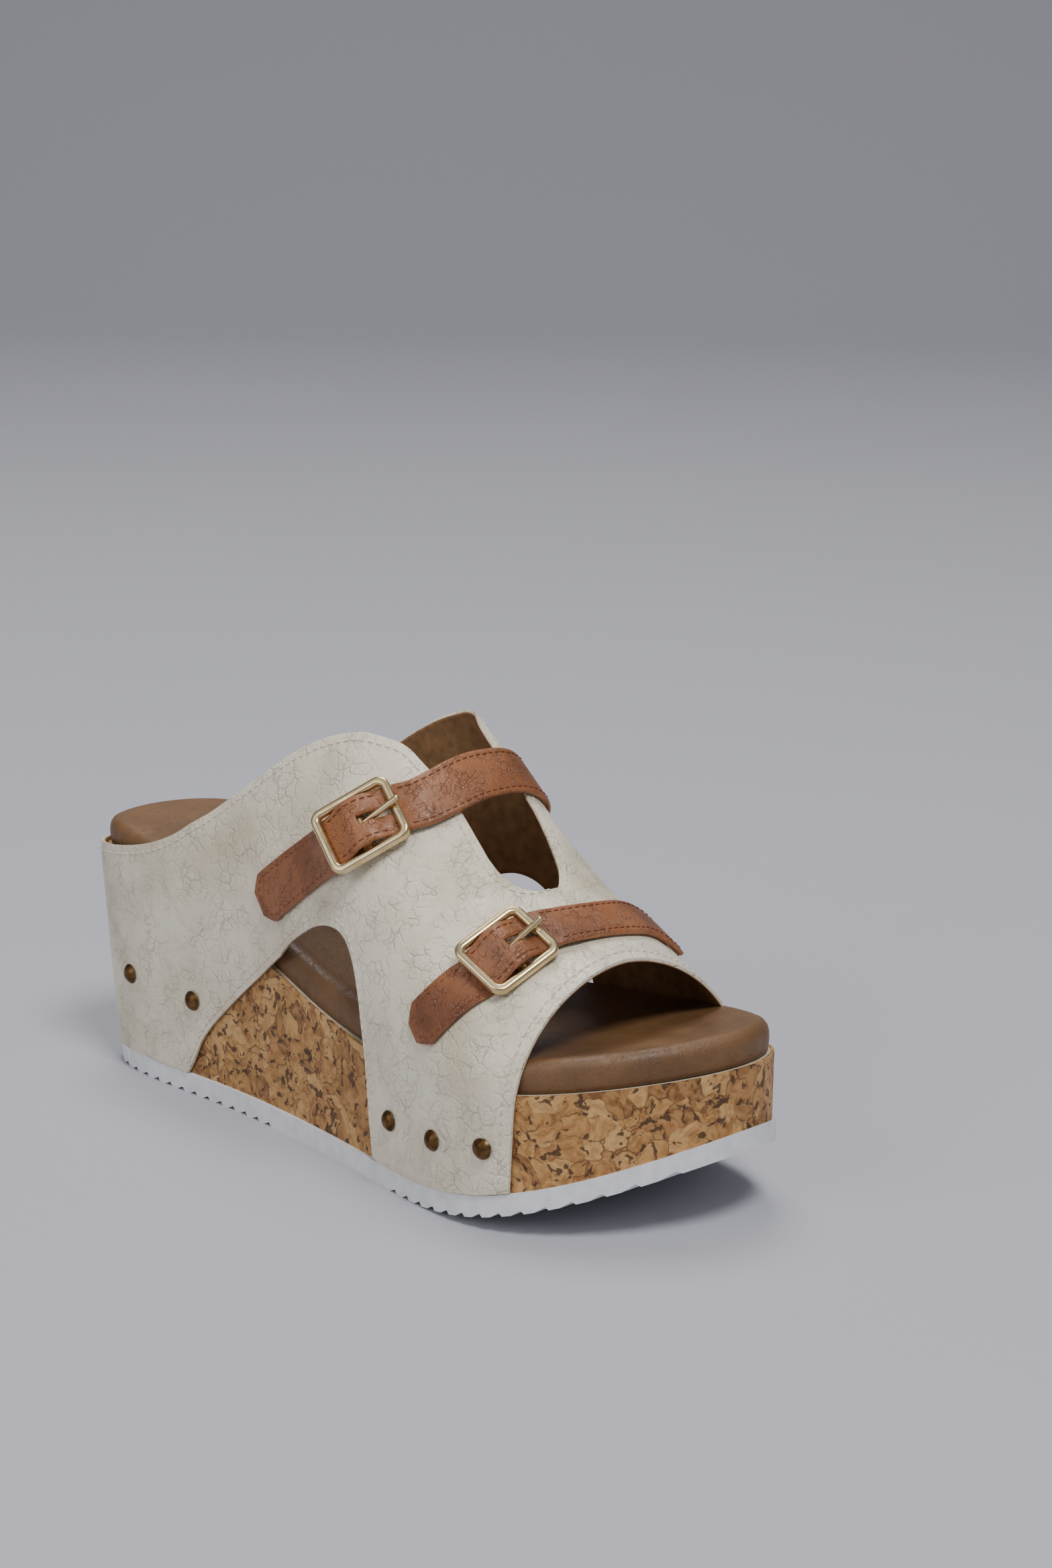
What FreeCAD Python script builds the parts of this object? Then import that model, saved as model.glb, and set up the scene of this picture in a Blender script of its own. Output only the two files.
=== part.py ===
"""Right-foot platform wedge sandal: cork-wrapped wedge, padded footbed, one-piece upper, two buckled straps.

Frame: millimetres, +Z up, toe towards -Y, outer (little-toe) side towards -X, origin on the ground under the
middle of the sole.  Shapes are described in shoe coordinates: u runs from the back of the heel to the toe,
v from the centre line to the outer side, z up; at() turns them into the document's frame.
"""
import FreeCAD
import Part
import math
import os

V = FreeCAD.Vector
document = FreeCAD.newDocument("wedge_sandal")

# ---------------------------------------------------------------- driving dimensions

DIMENSIONS = {
    "sole_length": 262.0,
    "outsole_thickness": 7.0,
    "outsole_flange": 0.6,
    "toe_spring": 24.0,
    "spring_start": 171.0,
    "tread_pitch": 6.7,
    "tread_depth": 1.3,
    "mount_start": 98.0,
    "mount_end": 164.0,
    "heel_flare": 6.7,
    "flare_reach": 110.0,
    "cork_inset": 0.7,
    "cork_sheet": 1.2,
    "board_thickness": 1.5,
    "board_inset": 4.0,
    "footbed_thickness": 10.0,
    "footbed_inset": 2.8,
    "footbed_round": 3.5,
    "footbed_skin": 1.0,
    "lining_gap": 0.6,
    "lining_thickness": 0.35,
    "upper_thickness": 1.0,
    "upper_lift": 0.3,
    "strap_thickness": 1.4,
    "backing_thickness": 0.7,
    "strap_lift": 1.0,
    "tab_thickness": 1.0,
    "end_clip": 4.5,
    "instep_strap_width": 17.5,
    "instep_frame_length": 28.4,
    "instep_frame_width": 24.6,
    "toe_strap_width": 16.0,
    "toe_frame_length": 26.6,
    "toe_frame_width": 23.0,
    "frame_wire": 3.0,
    "frame_corner": 4.2,
    "frame_edge": 1.2,
    "frame_height": 5.4,
    "bar_radius": 1.1,
    "bar_sink": 0.3,
    "loop_clearance": 0.1,
    "prong_radius": 1.05,
    "prong_eye_width": 3.0,
    "prong_eye_wall": 1.0,
    "prong_overhang": 1.7,
    "prong_rise": 13.0,
    "prong_eye_bore": 1.15,
    "stud_head_radius": 3.4,
    "stud_head_height": 1.9,
    "stud_shank_radius": 0.9,
    "stud_lift": 0.45,
    "stud_shank_length": 9.0,
}

sheet = document.addObject("Spreadsheet::Sheet", "dimensions")
for row, (alias, value) in enumerate(DIMENSIONS.items(), start=1):
    sheet.set("A%d" % row, alias)
    sheet.set("B%d" % row, str(value))
    sheet.setAlias("B%d" % row, alias)
document.recompute()


def dim(alias):
    """Value of one driving dimension, read back from the sheet."""
    return float(sheet.get(alias))


LENGTH = dim("sole_length")
GROUND_TO_WEDGE = dim("outsole_thickness")
CORK_OFFSET = -dim("cork_inset")
LINING_INSIDE = CORK_OFFSET + dim("lining_gap")
UPPER_INSIDE = LINING_INSIDE + dim("lining_thickness")
UPPER_OUTSIDE = UPPER_INSIDE + dim("upper_thickness")

# Sole outline, heel back -> outer side -> toe -> inner side, as (u, v).
SOLE_OUTLINE = [
    (0, 4), (6, 22), (30, 29.5), (70, 31), (110, 35.5), (150, 43), (180, 49), (210, 50), (238, 35.5),
    (256, 12), (262, -9), (257, -29.5), (238, -43), (205, -49), (170, -44), (130, -34.5), (90, -30),
    (50, -31), (22, -26), (4, -12),
]

# Height of the wedge's top over the ground along the foot, as (u, z).
WEDGE_TOP = [(-20, 75), (0, 76), (20, 76), (60, 67), (120, 46.5), (180, 41), (220, 44.5), (262, 51), (285, 54)]

# Cross sections of the upper: u, then v and z of the crown, z of the shoulder, roundness on either side.
SECTIONS = [
    (60, -6, 152, 62, 2.0, 2.8),
    (90, -8, 153, 61, 2.0, 3.0),
    (110, -9.5, 150.5, 58.5, 2.0, 3.0),
    (125, -10, 145, 55.5, 2.05, 3.0),
    (140, -10, 132.5, 52, 2.1, 3.0),
    (155, -8.5, 118, 47.5, 2.1, 2.8),
    (170, -6.5, 105, 44, 2.1, 2.5),
    (185, -4, 94, 41.5, 2.1, 2.3),
    (200, -2, 86.5, 40, 2.05, 2.1),
    (212, 0, 81.5, 39, 2.0, 1.9),
    (232, 3, 74, 38, 2.0, 1.7),
]
HEEL_CENTRE = 60.0
HEEL_SHOULDER = 78.0

# Pattern of the upper's two halves, from the heel's back to the toe.  Each station joins a point of the lower
# edge to a point of the upper edge.  A place is a distance b forward from the heel's back and one of: "z" a
# height on the wall, "v" a distance across, "ground" the outsole's top, "crown" the top of the section.
OUTER_PATTERN = [
    (0, "ground", 0, 0, "z", 76.3), (12, "ground", 0, 12, "z", 76.8), (24, "ground", 0, 24, "z", 79),
    (36, "ground", 0, 36, "z", 83.5), (45, "ground", 0, 46, "z", 89), (51, "ground", 0, 53, "z", 94),
    (54, "z", 11.5, 58, "z", 97), (61, "z", 23, 65, "z", 101.5), (75, "z", 37, 75, "z", 109),
    (90, "z", 50, 85, "z", 116.5), (104, "z", 62.5, 95, "z", 124), (117, "z", 72.5, 106, "z", 130),
    (127, "z", 76.2, 117, "z", 133.4), (135, "z", 75.5, 127, "z", 133.2), (141, "z", 70.5, 135, "z", 130.6),
    (145.5, "z", 62, 142, "v", 9.3), (149, "z", 50, 149, "v", 8), (152, "z", 35, 157, "v", 8.2),
    (154, "z", 20, 165, "v", 9.3), (156, "ground", 1, 172, "v", 10.6), (161, "ground", 0, 178, "v", 10.6),
    (169, "ground", 0, 183.5, "v", 8.4), (177, "ground", 0, 187.2, "v", 3.6), (185, "ground", 0, 188, "crown", 0),
    (196, "ground", 0, 197, "crown", 0), (207, "ground", 0, 209, "crown", 0), (218.5, "ground", 0, 222.3, "crown", 0),
]
INNER_PATTERN = [
    (0, "ground", 0, 0, "z", 76.3), (12, "ground", 0, 12, "z", 76.8), (24, "ground", 0, 24, "z", 79),
    (36, "ground", 0, 36, "z", 84), (45, "ground", 0, 46, "z", 89.5), (51, "ground", 0, 53, "z", 95),
    (55, "z", 13, 59, "z", 98), (64, "z", 26, 67, "z", 103.5), (78, "z", 40, 77, "z", 110),
    (94, "z", 53, 88, "z", 117), (109, "z", 65, 99, "z", 124), (122, "z", 74.5, 110, "z", 130),
    (132, "z", 80.5, 120, "z", 134), (141, "z", 82, 129, "z", 136), (149, "z", 79, 135.5, "v", -20),
    (157, "z", 71, 141, "v", -18.7), (163, "z", 61, 148, "v", -19), (168, "z", 47, 155, "v", -19.7),
    (171.5, "z", 32, 162, "v", -19.2), (174, "z", 17, 169, "v", -17), (177, "ground", 1, 175.5, "v", -14),
    (184, "ground", 0, 181.5, "v", -10.5), (193, "ground", 0, 186.2, "v", -6), (202, "ground", 0, 188, "crown", 0),
    (211, "ground", 0, 197, "crown", 0), (220, "ground", 0, 209, "crown", 0), (228.5, "ground", 0, 222.3, "crown", 0),
]


# ---------------------------------------------------------------- small geometry helpers

def at(u, v, z):
    """A point given in shoe coordinates, in the document's frame."""
    return V(-v, LENGTH / 2 - u, z)


def shoe(point):
    """The shoe coordinates (u, v, z) of a point in the document's frame."""
    return LENGTH / 2 - point.y, -point.x, point.z


def smooth(table, x, column=1):
    """Cubic Hermite interpolation of one column of a table of stations sorted by their first column."""
    last = len(table) - 1
    x = min(max(x, table[0][0]), table[last][0])
    i = max(k for k in range(last) if table[k][0] <= x)

    def slope(k):
        lower, upper = max(k - 1, 0), min(k + 1, last)
        return (table[upper][column] - table[lower][column]) / (table[upper][0] - table[lower][0])

    x0, x1 = table[i][0], table[i + 1][0]
    step = x1 - x0
    t = (x - x0) / step
    return ((1 + 2 * t) * (1 - t) ** 2 * table[i][column] + t * (1 - t) ** 2 * step * slope(i)
            + t * t * (3 - 2 * t) * table[i + 1][column] + t * t * (t - 1) * step * slope(i + 1))


def spline(points, closed=False):
    """Edge of a smooth curve through the points."""
    curve = Part.BSplineCurve()
    curve.interpolate(Points=points, PeriodicFlag=closed)
    return curve.toShape()


def spring_height(u):
    """Height of the outsole's underside over the ground, which lifts towards the toe."""
    start = dim("spring_start")
    return dim("toe_spring") * max(0.0, (u - start) / (LENGTH - start)) ** 2


def outline_samples(count=720):
    """Sole outline as (u, v, outward normal) samples."""
    edge = spline([V(u, v, 0) for u, v in SOLE_OUTLINE], closed=True)
    samples = []
    for k in range(count):
        parameter = edge.FirstParameter + (edge.LastParameter - edge.FirstParameter) * k / count
        point, tangent = edge.valueAt(parameter), edge.tangentAt(parameter)
        samples.append((point.x, point.y, V(-tangent.y, tangent.x, 0)))
    return samples


OUTLINE = outline_samples()


def half_width(u, side):
    """v of the sole outline at u on the outer (+1) or inner (-1) side."""
    ring = [s for s in OUTLINE if s[1] * side > 0 and 8 < s[0] < LENGTH - 3]
    ring.sort(key=lambda s: s[0])
    for a, b in zip(ring, ring[1:]):
        if a[0] <= u <= b[0]:
            return a[1] + (b[1] - a[1]) * (u - a[0]) / (b[0] - a[0])
    return ring[0][1] if u < ring[0][0] else ring[-1][1]


def flare(u, z):
    """How far the wall leans out past the sole outline round the heel."""
    weight = max(0.0, 1 - u / dim("flare_reach")) ** 1.5
    return dim("heel_flare") * weight * (z - GROUND_TO_WEDGE) / (76 - GROUND_TO_WEDGE)


def ring_wire(offset, z):
    """Closed outline of the wedge at height z, moved outwards by offset."""
    points = []
    for u, v in SOLE_OUTLINE:
        nearest = min(OUTLINE, key=lambda s: (s[0] - u) ** 2 + (s[1] - v) ** 2)
        away = V(u - HEEL_CENTRE, v, 0) if u < HEEL_CENTRE else V(0, v, 0)
        away.normalize()
        moved = V(u, v, 0) + nearest[2] * offset + away * flare(u, z)
        points.append(at(moved.x, moved.y, z))
    return Part.Wire(spline(points, closed=True))


def column(offset):
    """Tall solid with the sole's outline, leaning out at the heel; its faces are the wedge's walls."""
    return Part.makeLoft([ring_wire(offset, -5), ring_wire(offset, 110)], True, True)


def band(lower, upper):
    """Slab right across the shoe between two side-view lines, each a list of joined edges."""
    ends = [Part.makeLine(lower[0].valueAt(lower[0].FirstParameter), upper[0].valueAt(upper[0].FirstParameter)),
            Part.makeLine(lower[-1].valueAt(lower[-1].LastParameter), upper[-1].valueAt(upper[-1].LastParameter))]
    face = Part.Face(Part.Wire(Part.__sortEdges__(lower + upper + ends)))
    face.translate(V(-90, 0, 0))
    return face.extrude(V(180, 0, 0))


def sole_line(rise):
    """Side-view line of the outsole's underside lifted by rise: flat, then a parabola up to the toe."""
    back, start, front = -20, dim("spring_start"), 285
    parabola = Part.BezierCurve()
    parabola.setPoles([at(start, 0, rise), at((start + front) / 2, 0, rise),
                       at(front, 0, spring_height(front) + rise)])
    return [Part.makeLine(at(back, 0, rise), at(start, 0, rise)), parabola.toShape()]


def wedge_line(rise):
    """Side-view line of the wedge's top lifted by rise."""
    return [spline([at(u, 0, z + rise) for u, z in WEDGE_TOP])]


# ---------------------------------------------------------------- the upper's surface

def section(b):
    """Crown v and z, shoulder z and the two roundnesses of the section at b."""
    values = [smooth(SECTIONS, b, column) for column in range(1, 6)]
    values[2] += (HEEL_SHOULDER - values[2]) * max(0.0, 1 - b / HEEL_CENTRE)
    return values


def foot_of(b, side):
    """Outline point under place b: at distance b along the side, and at even turns round the heel."""
    if b >= HEEL_CENTRE:
        return V(b, half_width(b, side), 0)
    centre = V(HEEL_CENTRE, SECTIONS[0][1], 0)
    turn = math.radians(side * (180 - 90 * b / HEEL_CENTRE))
    ray = V(math.cos(turn), math.sin(turn), 0)
    ahead = [V(u, v, 0) - centre for u, v, normal in OUTLINE]
    after = min((p for p in ahead if p.dot(ray) > 0 and ray.cross(p).z >= 0), key=lambda p: p.getAngle(ray))
    before = min((p for p in ahead if p.dot(ray) > 0 and ray.cross(p).z < 0), key=lambda p: p.getAngle(ray))
    share = before.getAngle(ray) / (before.getAngle(ray) + after.getAngle(ray))
    return centre + before + (after - before) * share


def skin(b, angle, offset):
    """Point of the upper at place b: angle 0 is the outer shoulder, 90 the crown, 180 the inner shoulder.

    Below 0 and above 180 the angle runs down the wall, one millimetre to the degree.
    """
    crown_v, crown_z, shoulder, outer, inner = section(b)
    side = 1 if angle <= 90 else -1
    roundness = outer if side > 0 else inner
    lean = angle if side > 0 else 180 - angle
    centre = V(max(b, HEEL_CENTRE), crown_v, 0)
    radial = foot_of(b, side) - centre
    reach = radial.Length + offset
    foot_u = (centre + radial).x
    radial.normalize()
    if lean <= 0:
        height = shoulder + lean
        return centre + radial * (reach + flare(foot_u, height)) + V(0, 0, height)
    across = max(0.0, math.cos(math.radians(lean))) ** (2 / roundness)
    rise = math.sin(math.radians(lean)) ** (2 / roundness)
    return (centre + radial * ((reach + flare(foot_u, shoulder)) * across)
            + V(0, 0, shoulder + (crown_z + offset - shoulder) * rise))


def skin_normal(b, angle):
    """Unit normal of the upper's outside, pointing away from the foot."""
    ahead = skin(b + 0.5, angle, UPPER_OUTSIDE) - skin(b - 0.5, angle, UPPER_OUTSIDE)
    over = skin(b, angle + 0.5, UPPER_OUTSIDE) - skin(b, angle - 0.5, UPPER_OUTSIDE)
    return ahead.cross(over).normalize()


def skin_angle(b, v, z):
    """The angle whose ray through the section at b passes nearest to (v, z)."""
    crown_v, crown_z, shoulder, outer, inner = section(b)
    side = 1 if v >= crown_v else -1
    roundness = outer if side > 0 else inner
    if z <= shoulder:
        return z - shoulder if side > 0 else 180 + shoulder - z
    across = abs(v - crown_v) / abs(half_width(b, side) + side * UPPER_OUTSIDE - crown_v)
    rise = (z - shoulder) / (crown_z - shoulder)
    lean = math.degrees(math.atan2(rise ** (roundness / 2), across ** (roundness / 2)))
    return lean if side > 0 else 180 - lean


def pattern_angle(b, kind, value, side):
    """Angle of one end of a pattern station."""
    crown_v, crown_z, shoulder, outer, inner = section(b)
    roundness = outer if side > 0 else inner
    if kind == "crown":
        lean = 90.0
    elif kind == "ground":
        lean = GROUND_TO_WEDGE + dim("upper_lift") + spring_height(foot_of(b, side).x) + value - shoulder
    elif kind == "v":
        share = (value - crown_v) / (half_width(b, side) - crown_v)
        lean = math.degrees(math.acos(share ** (roundness / 2)))
    elif value <= shoulder:
        lean = value - shoulder
    else:
        share = (value - shoulder) / (crown_z - shoulder)
        lean = math.degrees(math.asin(share ** (roundness / 2)))
    return lean if side > 0 else 180 - lean


def stations(pattern, side):
    """Pattern rows as (number, low b, low angle, high b, high angle)."""
    rows = []
    for k, (low_b, low_kind, low_value, high_b, high_kind, high_value) in enumerate(pattern):
        rows.append((k, low_b, pattern_angle(low_b, low_kind, low_value, side),
                     high_b, pattern_angle(high_b, high_kind, high_value, side)))
    return rows


def poles(rows, offset, lines=2, across=19):
    """Grid of surface poles between two corners of the pattern, several lines to each station."""
    first, last = rows[0][0], rows[-1][0]
    grid = []
    for k in range(lines * (last - first) + 1):
        low_b, low, high_b, high = [smooth(rows, first + k / lines, column) for column in (1, 2, 3, 4)]
        line = []
        for j in range(across):
            share = j / (across - 1)
            line.append(at(*skin(low_b + (high_b - low_b) * share, low + (high - low) * share, offset)))
        grid.append(line)
    return grid


def surface_of(grid):
    """Cubic B-spline surface with the grid's points as its poles."""
    knots, counts = [], []
    for number in (len(grid), len(grid[0])):
        degree = min(3, number - 1)
        knots.append([float(k) for k in range(number - degree + 1)])
        counts.append([degree + 1] + [1] * (number - degree - 1) + [degree + 1])
    surface = Part.BSplineSurface()
    surface.buildFromPolesMultsKnots(grid, counts[0], counts[1], knots[0], knots[1], False, False,
                                     min(3, len(grid) - 1), min(3, len(grid[0]) - 1))
    return surface


def rim(surface, direction, end):
    """Boundary edge of a surface."""
    limits = surface.bounds()[:2] if direction == "uIso" else surface.bounds()[2:]
    return getattr(surface, direction)(limits[end]).toShape()


def closed_solid(faces):
    """Solid bounded by faces whose edges coincide."""
    shell = Part.makeShell(faces)
    shell.sewShape()
    solid = Part.makeSolid(shell)
    return solid if solid.Volume > 0 else solid.reversed()


def slab(lower, upper):
    """Solid between two grids of poles of equal size."""
    pair = [surface_of(lower), surface_of(upper)]
    faces = [surface.toShape() for surface in pair]
    for direction in ("uIso", "vIso"):
        for end in (0, 1):
            faces.append(Part.makeRuledSurface(rim(pair[0], direction, end), rim(pair[1], direction, end)))
    return closed_solid(faces)


def upper_layer(inside, outside):
    """One layer of the upper between two offsets, from patches that meet at the pattern's corners."""
    outer, inner = stations(OUTER_PATTERN, 1), stations(INNER_PATTERN, -1)
    patches = [(outer[5:20], "both"), (outer[19:24], "both"), (outer[23:], "toe"),
               (inner[5:21], "both"), (inner[20:24], "both"), (inner[23:], "toe")]
    faces = []
    for rows, kind in patches:
        pair = [surface_of(poles(rows, offset, 4 if kind == "toe" else 2)) for offset in (inside, outside)]
        faces += [surface.toShape() for surface in pair]
        rims = [("vIso", 0), ("vIso", 1)] if kind == "both" else [("vIso", 0), ("uIso", 1)]
        for direction, end in rims:
            faces.append(Part.makeRuledSurface(rim(pair[0], direction, end), rim(pair[1], direction, end)))
    pair = []
    for offset in (inside, outside):
        around = list(reversed(poles(inner[:6], offset, 4))) + poles(outer[:6], offset, 4)[1:]
        pair.append(surface_of(around))
    faces += [surface.toShape() for surface in pair]
    for end in (0, 1):
        faces.append(Part.makeRuledSurface(rim(pair[0], "vIso", end), rim(pair[1], "vIso", end)))
    return closed_solid(faces)


# ---------------------------------------------------------------- document objects

NODES = {}


def keep(name, item):
    """Record a finished sub-part under its node name."""
    item.Label = name
    NODES[name] = item
    return item


def coded(name, shape):
    """Sub-part whose freeform shape is made by the functions above."""
    item = document.addObject("Part::Feature", name)
    item.Shape = shape
    item.Placement = FreeCAD.Placement()
    return keep(name, item)


def primitive(kind, name, placement, **sizes):
    """Part primitive whose sizes are expressions over the sheet."""
    item = document.addObject("Part::" + kind, name)
    for size, expression in sizes.items():
        item.setExpression(size, expression)
    item.Placement = placement
    return item


def frame_at(origin, x_axis, z_axis):
    """Placement with its x and z axes along two perpendicular directions."""
    y_axis = z_axis.cross(x_axis)
    return FreeCAD.Placement(origin, FreeCAD.Rotation(x_axis, y_axis, z_axis, "ZXY"))


def body_sketch(body, name, plane):
    """Sketch on one of the body's own origin planes."""
    sketch = body.newObject("Sketcher::SketchObject", name)
    for feature in body.Origin.OriginFeatures:
        if feature.Role == plane:
            sketch.AttachmentSupport = [(feature, "")]
    sketch.MapMode = "FlatFace"
    return sketch


# ---------------------------------------------------------------- sole, wedge and footbed

def tread_grooves():
    """Sawtooth grooves across the outsole, left out over the smooth pad under the arch."""
    pitch, depth = dim("tread_pitch"), dim("tread_depth")
    grooves = []
    for k in range(1, int(LENGTH / pitch)):
        u = k * pitch
        if dim("mount_start") - 2 < u < dim("mount_end") + 2:
            continue
        floor = [(u - 1.9, spring_height(u - 1.9) - 1), (u - 1.9, spring_height(u - 1.9)),
                 (u + 0.9, spring_height(u + 0.9) + depth), (u + 1.9, spring_height(u + 1.9)),
                 (u + 1.9, spring_height(u + 1.9) - 1)]
        ring = [at(x, 80, z) for x, z in floor]
        grooves.append(Part.Face(Part.makePolygon(ring + ring[:1])).extrude(V(160, 0, 0)))
    return Part.makeCompound(grooves)


def padded_block(inset, top, rounding):
    """Footbed block on the wedge's top with its upper edge rounded."""
    block = column(-inset).common(band(wedge_line(0), wedge_line(top)))
    block = block.Solids[0]
    edges = [edge for edge in block.Edges
             if edge.Length > 400 and edge.BoundBox.ZMin > min(z for u, z in WEDGE_TOP) + top / 2]
    return block.makeFillet(rounding, edges)


outsole = column(dim("outsole_flange")).common(band(sole_line(0), sole_line(GROUND_TO_WEDGE)))
outsole = outsole.cut(tread_grooves()).Solids[0]
wedge_band = band(sole_line(GROUND_TO_WEDGE), wedge_line(0))
core_inset = CORK_OFFSET - dim("cork_sheet")
wedge_core = column(core_inset).common(wedge_band)
cork_wrap = column(CORK_OFFSET).cut(column(core_inset)).common(wedge_band)
board_bottom = wedge_line(-dim("board_thickness"))
insole_board = column(-dim("board_inset")).common(band(board_bottom, wedge_line(0)))
wedge_core = wedge_core.cut(insole_board)
footbed = padded_block(dim("footbed_inset"), dim("footbed_thickness"), dim("footbed_round"))
footbed_foam = padded_block(dim("footbed_inset") + dim("footbed_skin"),
                            dim("footbed_thickness") - dim("footbed_skin"),
                            dim("footbed_round") - dim("footbed_skin"))
footbed_cover = footbed.cut(footbed_foam)
upper = upper_layer(UPPER_INSIDE, UPPER_OUTSIDE)
lining = upper_layer(LINING_INSIDE, UPPER_INSIDE)

# ---------------------------------------------------------------- studs

# Domed studs as (u, z) at the heel and on either side of the vamp.
STUDS = {
    "heel_studs_outer": (1, [(24, 35.5), (56, 34)]),
    "vamp_studs_outer": (1, [(166, 23.5), (189, 24), (210, 26.7)]),
    "heel_studs_inner": (-1, [(24, 35.5), (56, 34)]),
    "vamp_studs_inner": (-1, [(184, 24), (203, 25.5), (221, 29)]),
}


def place_for(u, side):
    """Place b whose wall stands over the outline point at u."""
    return min((k / 4 for k in range(0, 1000)), key=lambda b: abs(foot_of(b, side).x - u))


def stud_master():
    """Stud turned about its axis: a domed head on a thin shank that points down."""
    body = document.addObject("PartDesign::Body", "stud_profile_body")
    sketch = body_sketch(body, "stud_profile", "XZ_Plane")
    head, height = dim("stud_head_radius"), dim("stud_head_height")
    shank, length = dim("stud_shank_radius"), dim("stud_shank_length")
    radius = (head ** 2 + height ** 2) / (2 * height)
    dome = Part.Circle(V(0, height - radius, 0), V(0, 0, 1), radius)
    sketch.addGeometry(Part.ArcOfCircle(dome, math.asin((radius - height) / radius), math.pi / 2), False)
    corners = [V(0, height, 0), V(0, -length, 0), V(shank, -length, 0), V(shank, 0, 0), V(head, 0, 0)]
    for a, b in zip(corners, corners[1:]):
        sketch.addGeometry(Part.LineSegment(a, b), False)
    turned = body.newObject("PartDesign::Revolution", "stud_turned")
    turned.Profile = sketch
    turned.ReferenceAxis = (sketch, ["V_Axis"])
    turned.Angle = 360
    document.recompute()
    return body.Shape.Solids[0]


stud = stud_master()
stud_groups = {}
holes = []
for name, (side, spots) in STUDS.items():
    group = []
    for u, z in spots:
        b = place_for(u, side)
        angle = z - section(b)[2] if side > 0 else 180 - (z - section(b)[2])
        seat = at(*skin(b, angle, UPPER_OUTSIDE))
        outward = at(*skin(b, angle, UPPER_OUTSIDE + 5)) - seat
        ahead = at(*skin(b + 1, angle, UPPER_OUTSIDE)) - at(*skin(b - 1, angle, UPPER_OUTSIDE))
        upwards = at(*skin(b, angle + 1, UPPER_OUTSIDE)) - at(*skin(b, angle - 1, UPPER_OUTSIDE))
        normal = ahead.cross(upwards).normalize()
        if normal.dot(outward) < 0:
            normal = normal * -1
        seat = seat + normal * dim("stud_lift")
        turn = FreeCAD.Rotation(V(0, 0, 1), normal)
        copy = stud.copy()
        copy.Placement = FreeCAD.Placement(seat, turn)
        group.append(copy)
        holes.append(Part.makeCylinder(dim("stud_shank_radius") + 0.05, dim("stud_shank_length") + 1,
                                       seat - normal * (dim("stud_shank_length") + 0.3), normal))
    stud_groups[name] = Part.makeCompound(group)


def drilled(shape):
    """The shape with every stud's hole cut, one at a time."""
    for hole in holes:
        if shape.BoundBox.intersect(hole.BoundBox):
            shape = shape.cut(hole)
    return shape


def trimmed(shape, tools):
    """The shape's main solid once the tools are cut away."""
    for tool in tools:
        shape = shape.cut(tool)
    return max(shape.Solids, key=lambda solid: solid.Volume)


coded("outsole", outsole)
coded("wedge_core", drilled(wedge_core))
coded("cork_wrap", drilled(cork_wrap))
coded("insole_board", insole_board)
coded("footbed_foam", trimmed(footbed_foam, (lining, upper)))
coded("footbed_cover", trimmed(footbed_cover, (lining, upper)))
coded("upper", drilled(upper))
coded("lining", drilled(lining))
for name, group in stud_groups.items():
    coded(name, group)

# ---------------------------------------------------------------- straps and buckles

# Each strap: centre line (u, v, z) from the tab's end over the buckle to the sewn end, index of the buckle,
# and the buckle's centre and its along and normal directions, all in shoe coordinates.
STRAPS = {
    "instep": {
        "path": [(90.5, 35.5, 74.7), (105.5, 36, 87.2), (122, 34, 99.4), (134, 29, 107.5), (146.5, 22, 116.5),
                 (150.3, 12.9, 120.5), (151.5, 2, 123.5), (152, -9.5, 124), (151.8, -22, 121),
                 (148.5, -33, 114.5), (138.5, -37.5, 105), (127, -38, 95.9)],
        "buckle": 3, "centre": (136.8, 32.9, 110.3), "along": (0.599, -0.609, 0.52), "normal": (0.278, 0.767, 0.578)},
    "toe": {
        "path": [(177.2, 51.2, 54), (186.8, 48, 65.2), (194.1, 39.6, 74.7), (198, 28, 79.5), (201.9, 17, 86.4),
                 (203.5, 7, 87.7), (205, -4, 87.3), (204.5, -17, 85), (203, -28, 81.9), (202.7, -38, 75),
                 (201.7, -42.5, 70.6)],
        "buckle": 3, "centre": (199.5, 31, 82.8), "along": (0.18, -0.875, 0.445), "normal": (0.435, 0.47, 0.76)},
}

# Heights over the upper of the strap's and the tab's underside, by distance s from the buckle's bar.
STRAP_HEIGHT = [(-13, 2.0), (-10.4, 2.15), (-7, 4.6), (-3, 7.4), (0, 7.8), (3, 7.4), (7, 4.3), (10.4, 1.5),
                (14, 0.9), (22, 0.9), (30, 1.0), (400, 1.0)]
TAB_HEIGHT = [(-400, 0.4), (-25, 0.4), (-13, 0.6), (-6, 1.9), (-2, 3.4), (1, 3.45)]
STRAP_TAIL = -13.0
BACKING_START = 32.0


def direction(u, v, z):
    """Direction given in shoe coordinates, in the document's frame."""
    return V(-v, -u, z).normalize()


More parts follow.
